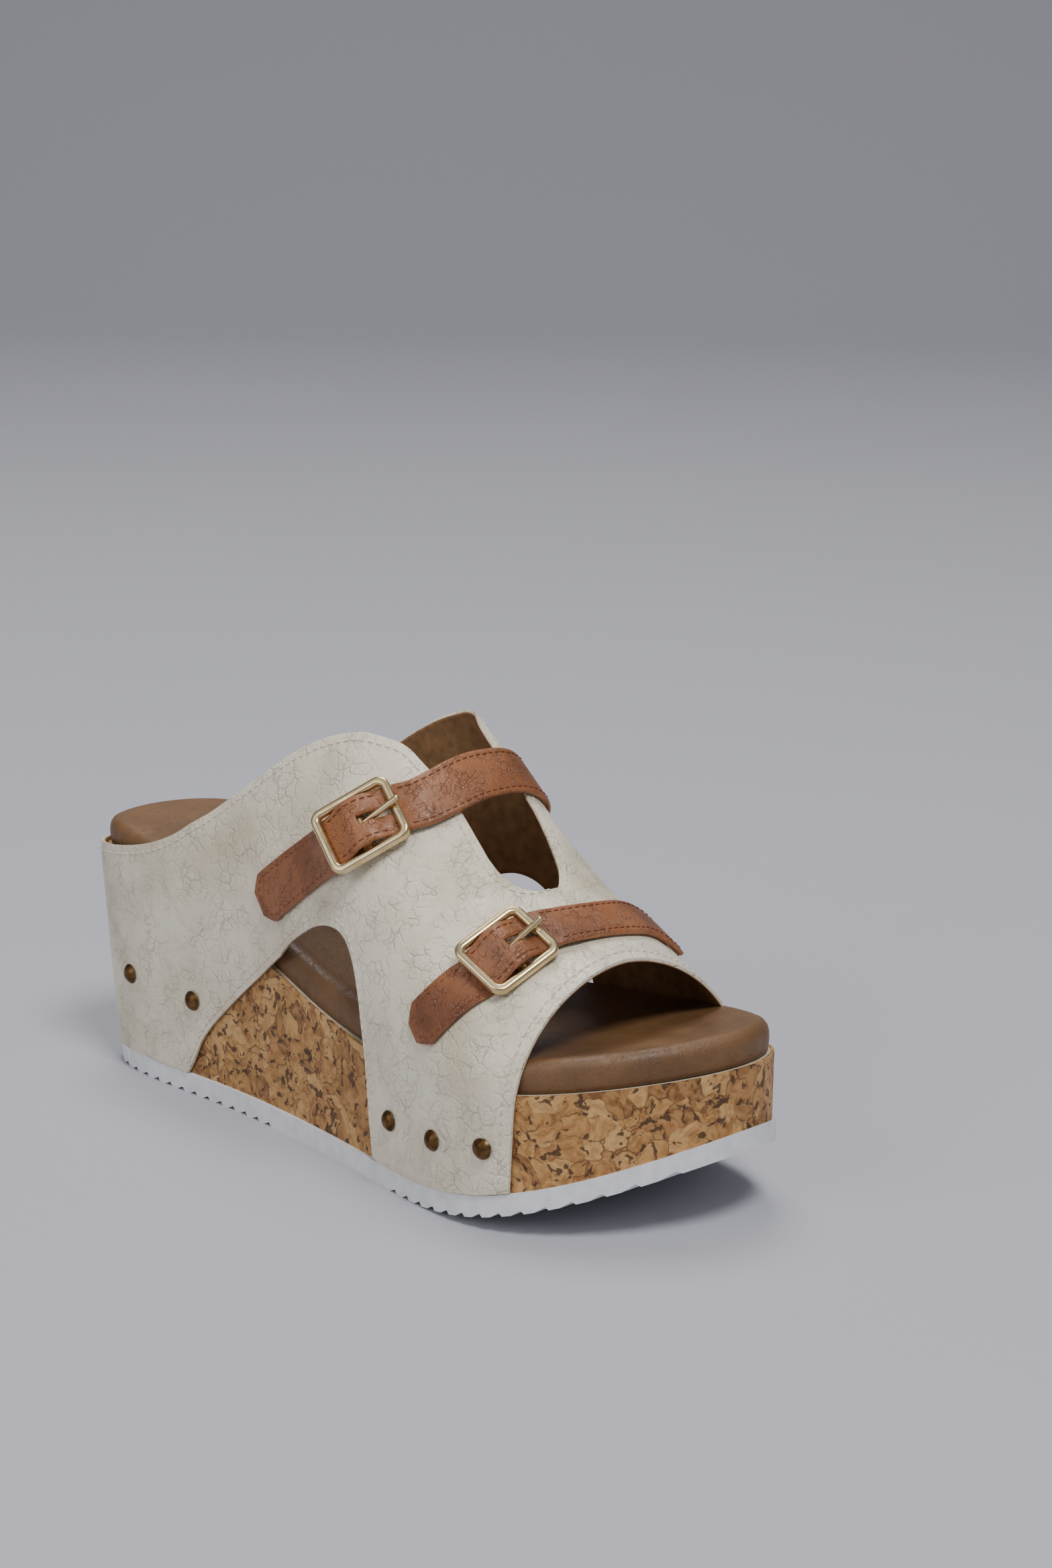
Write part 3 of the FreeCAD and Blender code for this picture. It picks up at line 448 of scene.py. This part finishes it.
def plain(name, base, second, scale, depth, roughness, metallic=0.0):
    """Two-tone surface with a fine texture."""
    shader = Shader(name, roughness, metallic)
    value = shader.noise(scale, 5)
    shader.colour(shader.mix(shader.ramp(value, (0.35, grey(0)), (0.68, grey(1))), base, second))
    shader.bump(shader.noise(scale * 6, 4), depth, 0.6)
    shader.roughness(shader.ramp(value, (0.3, grey(roughness - 0.06)), (0.7, grey(roughness + 0.08))))
    return shader.material


# The last number of each leather sets how strongly its crease lines are darkened as painted shade.
CREAM = leather("cream_leather", hue(228, 219, 196), hue(202, 190, 164), hue(238, 231, 212),
                scale=230, depth=0.0003, roughness=0.34, coat=0.3, crease_shade=0.4)
CARAMEL = leather("caramel_leather", hue(140, 86, 50), hue(100, 56, 30), hue(158, 100, 62),
                  scale=420, depth=0.00022, roughness=0.42, coat=0.1, crease_shade=0.6)
TAN_EDGE = plain("tan_edge", hue(178, 118, 76), hue(146, 90, 54), 600, 0.0001, 0.6)
LINING = plain("tan_lining", hue(156, 118, 78), hue(128, 94, 60), 260, 0.00015, 0.72)
FOOTBED = leather("footbed_leather", hue(112, 80, 48), hue(88, 60, 34), hue(124, 90, 56),
                  scale=640, depth=0.00008, roughness=0.52, coat=0.05, crease_shade=0.3)
CORK = cork()
RUBBER = plain("white_rubber", hue(234, 235, 238), hue(220, 221, 225), 220, 0.0001, 0.5)
GOLD = plain("pale_gold", hue(232, 212, 168), hue(212, 188, 140), 160, 0.00003, 0.24, 1.0)
ANTIQUE = plain("antique_brass", hue(122, 92, 58), hue(66, 46, 28), 420, 0.0001, 0.4, 1.0)
FOAM = plain("core_foam", hue(214, 204, 184), hue(196, 184, 162), 300, 0.0002, 0.8)
CREAM_THREAD = plain("cream_thread", hue(226, 220, 204), hue(204, 196, 176), 900, 0.0001, 0.7)
CARAMEL_THREAD = plain("caramel_thread", hue(128, 68, 34), hue(100, 52, 26), 900, 0.0001, 0.7)

CAD_MATERIALS = {
    "outsole": RUBBER, "wedge_core": FOAM, "cork_wrap": CORK, "insole_board": FOAM,
    "instep_tab": CARAMEL, "toe_tab": CARAMEL,
    "instep_strap_backing": TAN_EDGE, "toe_strap_backing": TAN_EDGE,
    "heel_studs_inner": ANTIQUE, "heel_studs_outer": ANTIQUE, "vamp_studs_inner": ANTIQUE,
    "vamp_studs_outer": ANTIQUE, "instep_buckle_frame": GOLD, "toe_buckle_frame": GOLD,
    "instep_buckle_bar": GOLD, "toe_buckle_bar": GOLD, "instep_buckle_prong": GOLD, "toe_buckle_prong": GOLD,
}
for node, material in CAD_MATERIALS.items():
    shown = NODES[node]
    shown.data.materials.clear()
    shown.data.materials.append(material)


# ---------------------------------------------------------------- meshes

def piece(name, vertices, faces, materials):
    """New object from a mesh, riding on the sandal and wearing the given materials."""
    mesh = bpy.data.meshes.new(name)
    mesh.from_pydata([tuple(v) for v in vertices], [], faces)
    for material in materials:
        mesh.materials.append(material)
    made = bpy.data.objects.new(name, mesh)
    bpy.context.scene.collection.objects.link(made)
    for polygon in mesh.polygons:
        polygon.use_smooth = True
    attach(made, "sandal")
    return made


def weld(made, distance):
    """Merge coincident vertices and point the faces outwards."""
    work = bmesh.new()
    work.from_mesh(made.data)
    bmesh.ops.remove_doubles(work, verts=work.verts, dist=distance)
    bmesh.ops.recalc_face_normals(work, faces=work.faces)
    work.to_mesh(made.data)
    work.free()


def shell(name, inside, outside, materials, bevel):
    """Closed layer of the upper between two offsets, with rounded rims."""
    vertices, faces = [], []
    for side, first, last in PATCHES:
        layers = [patch_grid(side, first, last, offset) for offset in (outside, inside)]
        bases = []
        for grid in layers:
            bases.append(len(vertices))
            for line in grid:
                vertices.extend(line)
        rows, columns = len(layers[0]), ACROSS + 1
        for base, flip in zip(bases, (False, True)):
            for i in range(rows - 1):
                for j in range(columns - 1):
                    a = base + i * columns + j
                    quad = (a, a + columns, a + columns + 1, a + 1)
                    faces.append(quad[::-1] if flip != (side < 0) else quad)
        rims = [[(i, 0) for i in range(rows)]]
        if last < LAST_STATION:
            rims.append([(i, columns - 1) for i in range(rows)])
        else:
            rims.append([(rows - 1, j) for j in range(columns)])
        for rim in rims:
            for (i, j), (k, m) in zip(rim, rim[1:]):
                a, b = i * columns + j, k * columns + m
                faces.append((bases[0] + a, bases[0] + b, bases[1] + b, bases[1] + a))
    made = piece(name, vertices, faces, materials)
    weld(made, 0.00002)
    if bevel:
        rounding = made.modifiers.new("rim", "BEVEL")
        rounding.width = bevel
        rounding.segments = 3
        rounding.limit_method = "ANGLE"
        rounding.angle_limit = math.radians(50)
    return made


def along(points, spacing):
    """Points and directions at even spacing along a polyline."""
    result, travelled, target = [], 0.0, spacing / 2
    for a, b in zip(points, points[1:]):
        step = (b - a).length
        while step > 0 and travelled + step >= target:
            result.append((a.lerp(b, (target - travelled) / step), (b - a).normalized()))
            target += spacing
        travelled += step
    return result


def stitches(name, lines, normal_at, material, slot_name, pitch=0.0031, length=0.0023, radius=0.00028):
    """Row of thread stitches lying on a surface."""
    vertices, faces = [], []
    profile = [(-0.5, 0.15), (-0.4, 0.75), (-0.2, 1.0), (0.0, 1.05), (0.2, 1.0), (0.4, 0.75), (0.5, 0.15)]
    sides = 6
    for line in lines:
        for point, way in along(line, pitch):
            up = normal_at(point)
            across = way.cross(up).normalized()
            base = len(vertices)
            for place, width in profile:
                for k in range(sides):
                    turn = 2 * math.pi * k / sides
                    vertices.append(point + way * (place * length)
                                    + (across * math.cos(turn) + up * math.sin(turn)) * (radius * width)
                                    + up * (radius * 0.45 * (1 - 4 * place * place)))
            for i in range(len(profile) - 1):
                for k in range(sides):
                    a, b = base + i * sides + k, base + i * sides + (k + 1) % sides
                    faces.append((a, b, b + sides, a + sides))
            faces.append(tuple(base + k for k in reversed(range(sides))))
            faces.append(tuple(base + (len(profile) - 1) * sides + k for k in range(sides)))
    return piece(name, vertices, faces, [material])


def inset_lines(distance, offset):
    """Lines a distance inside the pattern's lower and upper edges and the toe edge."""
    lines = []
    for side, first, last in PATCHES:
        lower, upper = [], []
        for line in patch_grid(side, first, last, offset):
            for points, row in ((line, lower), (line[::-1], upper)):
                travelled = 0.0
                for a, b in zip(points, points[1:]):
                    step = (b - a).length
                    if travelled + step >= distance:
                        row.append(a.lerp(b, (distance - travelled) / step))
                        break
                    travelled += step
        if last < LAST_STATION:
            lines.append(upper)
        if (side, first) not in GROUNDED:
            lines.append(lower)
        if last == LAST_STATION:
            rows = STATIONS[side][THROAT_END:]
            lines.append(grid_line(rows, LAST_STATION - distance / MM / TOE_SPACING, offset))
    return lines


upper = shell("upper_shell", UPPER_INSIDE, UPPER_OUTSIDE, [CREAM], 0.0003)
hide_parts("upper")
lining = shell("upper_lining", LINING_INSIDE, UPPER_INSIDE, [LINING], 0.0)
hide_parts("lining")


def normal_finder(made):
    """Function giving the outward normal of a mesh nearest to a point."""
    tree = BVHTree.FromPolygons([v.co for v in made.data.vertices],
                                [tuple(p.vertices) for p in made.data.polygons])
    return lambda point: tree.find_nearest(point)[1]


stitches("upper_stitching", inset_lines(0.0030, UPPER_OUTSIDE), normal_finder(upper), CREAM_THREAD,
         "upper_leather")

FOOTBED_THICKNESS = 10.0
FOOTBED_DISH = 1.1
FOOTBED_SPINE = (42.0, 218.0)
# Rim of the footbed from its foot up: inset from the sole outline and height over the wedge.
FOOTBED_RIM = [
    (2.8, 0.0), (2.5, 1.5), (2.35, 4.0), (2.5, 6.2), (3.0, 7.9), (4.0, 9.2), (5.4, 9.85),
    (7.2, FOOTBED_THICKNESS),
]


def footbed():
    """Padded footbed: rounded rim, soft side and a dished top."""
    steps = 14
    count = 360
    outline = OUTLINE[::len(OUTLINE) // count]
    vertices, faces = [], []
    for inset, rise in FOOTBED_RIM:
        for u, v, nu, nv in outline:
            away = np.array([u - HEEL_CENTRE, v]) if u < HEEL_CENTRE else np.array([0.0, v])
            away = away / max(np.linalg.norm(away), 1e-6)
            top = smooth(WEDGE_TOP, u)
            lean = flare(u, top + rise)
            vertices.append(at(u - nu * inset + away[0] * lean, v - nv * inset + away[1] * lean, top + rise))
    rim = [Vector(p) / MM for p in vertices[-count:]]
    for k in range(1, steps + 1):
        share = 1 - k / steps
        for p in rim:
            u, v = LENGTH / 2 - p.y, -p.x
            spine = min(max(u, FOOTBED_SPINE[0]), FOOTBED_SPINE[1])
            middle = (half_width(spine, 1) + half_width(spine, -1)) / 2
            x, y = spine + (u - spine) * share, middle + (v - middle) * share
            dish = FOOTBED_DISH * (1 - share * share)
            vertices.append(at(x, y, smooth(WEDGE_TOP, x) + FOOTBED_THICKNESS - dish))
    rings = len(FOOTBED_RIM) + steps
    for i in range(rings - 1):
        for k in range(count):
            a, b = i * count + k, i * count + (k + 1) % count
            faces.append((a, a + count, b + count, b))
    faces.append(tuple(range(count)))
    made = piece("footbed_pad", vertices, faces, [FOOTBED])
    weld(made, 0.00001)
    return made


pad = footbed()
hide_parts("footbed_foam", "footbed_cover")

# ---------------------------------------------------------------- straps

# Each strap: points (u, v, z) of its centre line, its width, and its buckle's centre and two directions.
STRAPS = {
    "instep": {
        "path": [(90.5, 35.5, 74.7), (105.5, 36, 87.2), (122, 34, 99.4), (134, 29, 107.5), (146.5, 22, 116.5),
                 (150.3, 12.9, 120.5), (151.5, 2, 123.5), (152, -9.5, 124), (151.8, -22, 121),
                 (148.5, -33, 114.5), (138.5, -37.5, 105), (127, -38, 95.9)],
        "width": 17.5, "centre": (136.8, 32.9, 110.3), "along": (0.599, -0.609, 0.52),
        "normal": (0.278, 0.767, 0.578)},
    "toe": {
        "path": [(177.2, 51.2, 54), (186.8, 48, 65.2), (194.1, 39.6, 74.7), (198, 28, 79.5),
                 (201.9, 17, 86.4), (203.5, 7, 87.7), (205, -4, 87.3), (204.5, -17, 85), (203, -28, 81.9),
                 (202.7, -38, 75), (201.7, -42.5, 70.6)],
        "width": 16.0, "centre": (199.5, 31, 82.8), "along": (0.18, -0.875, 0.445),
        "normal": (0.435, 0.47, 0.76)},
}
BUCKLE_INDEX = 3
SPAN_SAMPLES = 60
# Height of the strap's underside against the distance past the buckle's bar.
STRAP_HEIGHT = [
    (-13, 2.5), (-8, 4.4), (-3, 7.4), (0, 7.8), (3, 7.4), (8, 4.4), (13, 2.5), (22, 1.5),
    (30, 1.0), (400, 1.0),
]
STRAP_TAIL = -13.0
STRAP_THICKNESS = 1.4
STRAP_CORNER = 1.6
FRAME_HEIGHT = 5.4
STITCH_INSET = 1.9
SLOT_START = 0.2
SLOT_END = 10.8
SLOT_HALF = 1.7
TAB_START = 2
TAB_CLIP = 4.5
TAB_STITCH_HEIGHT = 1.25
STRAP_STITCH = {"pitch": 0.0028, "length": 0.0020, "radius": 0.00023}


def open_curve(points):
    """Lengths along and points (u, v, z) of the natural cubic spline through the points."""
    p = np.array(points, float)
    n = len(p)
    h = np.linalg.norm(p[1:] - p[:-1], axis=1)
    system, right = np.zeros((n, n)), np.zeros((n, 3))
    system[0, 0] = system[-1, -1] = 2
    system[0, 1] = system[-1, -2] = 1
    right[0], right[-1] = 3 * (p[1] - p[0]) / h[0], 3 * (p[-1] - p[-2]) / h[-1]
    for i in range(1, n - 1):
        system[i, i - 1], system[i, i], system[i, i + 1] = h[i], 2 * (h[i] + h[i - 1]), h[i - 1]
        right[i] = 3 * (h[i] * (p[i] - p[i - 1]) / h[i - 1] + h[i - 1] * (p[i + 1] - p[i]) / h[i])
    slopes = np.linalg.solve(system, right)
    samples = []
    for i in range(n - 1):
        for t in np.linspace(0, 1, SPAN_SAMPLES, endpoint=False):
            samples.append((2 * t ** 3 - 3 * t ** 2 + 1) * p[i] + (t ** 3 - 2 * t ** 2 + t) * h[i] * slopes[i]
                           + (3 * t ** 2 - 2 * t ** 3) * p[i + 1] + (t ** 3 - t ** 2) * h[i] * slopes[i + 1])
    samples.append(p[-1])
    samples = np.array(samples)
    lengths = np.concatenate([[0], np.cumsum(np.linalg.norm(samples[1:] - samples[:-1], axis=1))])
    return lengths, samples


def skin_angle(b, v, z):
    """The angle whose ray through the section at b passes nearest to (v, z)."""
    crown_v, crown_z, shoulder, outer, inner = section(b)
    side = 1 if v >= crown_v else -1
    roundness = outer if side > 0 else inner
    if z <= shoulder:
        return z - shoulder if side > 0 else 180 + shoulder - z
    across = abs(v - crown_v) / abs(half_width(b, side) + side * UPPER_OUTSIDE - crown_v)
    rise = (z - shoulder) / (crown_z - shoulder)
    lean = math.degrees(math.atan2(rise ** (roundness / 2), across ** (roundness / 2)))
    return lean if side > 0 else 180 - lean


def unit(vector):
    """The vector at length 1."""
    return vector / np.linalg.norm(vector)


class Strap:
    """Maps distance along, distance across and height over the upper (mm) to a point (m)."""

    def __init__(self, data):
        self.lengths, self.samples = open_curve(data["path"])
        self.before = self.lengths[BUCKLE_INDEX * SPAN_SAMPLES]
        self.after = self.lengths[-1] - self.before
        self.along = unit(np.array(data["along"]))
        normal = np.array(data["normal"])
        self.normal = unit(normal - self.along * normal.dot(self.along))
        self.across = np.cross(self.along, self.normal)
        self.foot = np.array(data["centre"]) - self.normal * FRAME_HEIGHT
        self.width = data["width"]

    def steps(self, b, angle):
        """How the upper's point moves with place and with angle."""
        return (skin(b + 0.5, angle, UPPER_OUTSIDE) - skin(b - 0.5, angle, UPPER_OUTSIDE),
                skin(b, angle + 0.5, UPPER_OUTSIDE) - skin(b, angle - 0.5, UPPER_OUTSIDE))

    def on_skin(self, s, w, h):
        """Point laid on the upper's surface."""
        length = min(max(self.before + s, 0.01), self.lengths[-1] - 0.01)
        place = [float(np.interp(length, self.lengths, self.samples[:, k])) for k in range(3)]
        nearby = [np.array([np.interp(length + d, self.lengths, self.samples[:, k]) for k in range(3)])
                  for d in (-0.7, 0.7)]
        tangent = unit(nearby[1] - nearby[0])
        b, angle = place[0], skin_angle(*place)
        step_b, step_a = self.steps(b, angle)
        normal = unit(np.cross(step_b, step_a))
        normal = normal if normal[2] > 0 else -normal
        across = unit(np.cross(tangent, normal)) * w
        bb, ba, aa = step_b.dot(step_b), step_b.dot(step_a), step_a.dot(step_a)
        rb, ra = across.dot(step_b), across.dot(step_a)
        b += (rb * aa - ra * ba) / (bb * aa - ba * ba)
        angle += (ra * bb - rb * ba) / (bb * aa - ba * ba)
        local = unit(np.cross(*self.steps(b, angle)))
        local = local if local.dot(normal) > 0 else -local
        return skin(b, angle, UPPER_OUTSIDE) + local * h

    def point(self, s, w, h):
        """Point over the upper, on the buckle's own plane near its bar."""
        laid = self.on_skin(s, w, h)
        flat = self.foot + self.along * s + self.across * w + self.normal * h
        share = min(1.0, max(0.0, (abs(s) - 7) / 15))
        share = share * share * (3 - 2 * share)
        return at(*(flat * (1 - share) + laid * share))


def strap_piece(kind):
    """One strap with soft edges, a sunk stitch line and its prong's slot."""
    strap = Strap(STRAPS[kind])
    end = strap.after - 1
    half = strap.width / 2
    stops = {round(float(x), 3) for x in np.arange(STRAP_TAIL, end, 0.9)}
    stops = sorted(stops | {SLOT_START, SLOT_END, round(end, 3)})
    marks = (0.35, 0.5, 0.7, 0.86, 0.94, 0.985, 1, SLOT_HALF / half, 1 - STITCH_INSET / half)
    shares = sorted({0} | {mark * side for mark in marks for side in (-1, 1)})
    vertices, faces, walls = [], [], []
    index = {}
    for layer in (1, 0):
        for i, s in enumerate(stops):
            near = end - s
            narrow = 0.0
            if near < STRAP_CORNER:
                narrow = STRAP_CORNER - math.sqrt(max(0.0, STRAP_CORNER ** 2 - (STRAP_CORNER - near) ** 2))
            for j, share in enumerate(shares):
                w = share * (half - narrow)
                rise = smooth(STRAP_HEIGHT, s)
                if layer:
                    from_edge = half - abs(w)
                    rise += STRAP_THICKNESS - 0.45 * max(0.0, 1 - from_edge / 1.0) ** 2
                    rise -= 0.14 * math.exp(-((from_edge - STITCH_INSET) / 0.45) ** 2)
                    rise += 0.16 * (1 - share * share)
                index[layer, i, j] = len(vertices)
                vertices.append(strap.point(s, w, rise))

    def in_slot(i, j):
        slot_share = SLOT_HALF / half
        return SLOT_START <= stops[i] < SLOT_END and -slot_share <= shares[j] < slot_share - 1e-6

    cells = {(i, j) for i in range(len(stops) - 1) for j in range(len(shares) - 1) if not in_slot(i, j)}
    for i, j in cells:
        for layer, order in ((1, 1), (0, -1)):
            corners = ((i, j), (i + 1, j), (i + 1, j + 1), (i, j + 1))
            quad = [index[(layer,) + corner] for corner in corners]
            faces.append(tuple(quad[::order]))
        for (di, dj), (a, b) in {(-1, 0): ((i, j), (i, j + 1)), (1, 0): ((i + 1, j + 1), (i + 1, j)),
                                 (0, -1): ((i + 1, j), (i, j)), (0, 1): ((i, j + 1), (i + 1, j + 1))}.items():
            if (i + di, j + dj) not in cells:
                walls.append((index[(1,) + a], index[(1,) + b], index[(0,) + b], index[(0,) + a]))
    made = piece(kind + "_strap_leather", vertices, faces + walls, [CARAMEL, TAN_EDGE])
    for polygon in made.data.polygons[len(faces):]:
        polygon.material_index = 1
    weld(made, 0.000001)
    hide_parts(kind + "_strap")
    return strap, made, half, end


def strap_stitching(kind):
    """Stitches round one strap's free length, its tail and its tab."""
    strap, made, half, end = strap_piece(kind)
    w = half - STITCH_INSET

    def height(s):
        return smooth(STRAP_HEIGHT, s) + STRAP_THICKNESS

    rows = [[strap.point(s, w * side, height(s)) for s in np.arange(15.5, end - STITCH_INSET, 0.8)]
            for side in (-1, 1)]
    rows.append([strap.point(end - STITCH_INSET, w * t, height(end)) for t in np.linspace(-1, 1, 24)])
    rows += [[strap.point(s, w * side, height(s)) for s in np.arange(-9.5, 9.5, 0.8)] for side in (-1, 1)]
    stitches(kind + "_strap_stitching", rows, normal_finder(made), CARAMEL_THREAD, "strap_leather",
             **STRAP_STITCH)
    tab = normal_finder(NODES[kind + "_tab"])
    start = TAB_START - strap.before
    first = start + TAB_CLIP + 0.8
    rows = [[strap.point(s, w * side, TAB_STITCH_HEIGHT) for s in np.arange(first, -15.5, 0.8)]
            for side in (-1, 1)]
    cut = [(first, -w), (start + STITCH_INSET, -(half - TAB_CLIP - 0.8)),
           (start + STITCH_INSET, half - TAB_CLIP - 0.8), (first, w)]
    corner = []
    for (s0, w0), (s1, w1) in zip(cut, cut[1:]):
        corner += [strap.point(s0 + (s1 - s0) * t, w0 + (w1 - w0) * t, TAB_STITCH_HEIGHT)
                   for t in np.linspace(0, 1, 8)]
    stitches(kind + "_tab_stitching", rows + [corner], tab, CARAMEL_THREAD, "strap_leather", **STRAP_STITCH)


for KIND in STRAPS:
    strap_stitching(KIND)

# ---------------------------------------------------------------- floor, light and camera

AZIMUTH, ELEVATION, ROLL = math.radians(-46.31), math.radians(14.0), math.radians(0.87)
FLOOR_TONE = hue(178, 178, 186)
floor_material = plain("floor_paint", FLOOR_TONE, FLOOR_TONE, 3, 0.00001, 0.75)
floor_mesh = bpy.data.meshes.new("floor")
SPAN, BACK, RISE, BEND = 6.0, 2.2, 5.0, 1.2
forward = Vector((-math.sin(AZIMUTH), math.cos(AZIMUTH), 0))
right = Vector((math.cos(AZIMUTH), math.sin(AZIMUTH), 0))
sweep = [(-SPAN, 0.0)] + [(BACK + BEND * math.sin(math.radians(a)), BEND * (1 - math.cos(math.radians(a))))
                          for a in range(0, 91, 6)] + [(BACK + BEND, RISE)]
floor_points = [forward * d + right * s + Vector((0, 0, z)) for d, z in sweep for s in (-SPAN, SPAN)]
floor_faces = [(2 * i, 2 * i + 1, 2 * i + 3, 2 * i + 2) for i in range(len(sweep) - 1)]
floor_mesh.from_pydata([tuple(p) for p in floor_points], [], floor_faces)
floor_mesh.materials.append(floor_material)
for polygon in floor_mesh.polygons:
    polygon.use_smooth = True
floor = bpy.data.objects.new("floor", floor_mesh)
bpy.context.scene.collection.objects.link(floor)


LIGHT_TARGET = (0, 0, 0.05)


def softbox(name, place, size, power):
    """Large square area light aimed at the sandal."""
    data = bpy.data.lights.new(name, "AREA")
    data.size = size
    data.energy = power
    lamp = bpy.data.objects.new(name, data)
    bpy.context.scene.collection.objects.link(lamp)
    lamp.location = place
    lamp.rotation_euler = (Vector(LIGHT_TARGET) - Vector(place)).to_track_quat("-Z", "Y").to_euler()


softbox("key", (-0.5, -1.2, 2.2), 0.7, 42)
softbox("fill", (-2.0, 0.2, 1.2), 1.4, 14)
softbox("top", (0.5, 0.7, 2.2), 1.0, 26)
world = bpy.data.worlds.new("studio")
bpy.context.scene.world = world
world.use_nodes = True
world.node_tree.nodes["Background"].inputs["Color"].default_value = (0.86, 0.86, 0.88, 1)
world.node_tree.nodes["Background"].inputs["Strength"].default_value = 0.30

EYE = Vector((-0.76684, -0.77856, 0.38986))
back = Vector((math.sin(AZIMUTH) * math.cos(ELEVATION), -math.cos(AZIMUTH) * math.cos(ELEVATION),
               math.sin(ELEVATION)))
upright = back.cross(right)
side_axis = right * math.cos(ROLL) + upright * math.sin(ROLL)
up_axis = upright * math.cos(ROLL) - right * math.sin(ROLL)
lens = bpy.data.cameras.new("camera")
lens.sensor_fit = "VERTICAL"
lens.sensor_height = 36.0
lens.lens = 80.5
camera = bpy.data.objects.new("camera", lens)
bpy.context.scene.collection.objects.link(camera)
camera.matrix_world = Matrix.Translation(EYE) @ Matrix((side_axis, up_axis, back)).transposed().to_4x4()
bpy.context.scene.camera = camera

bpy.context.view_layer.update()
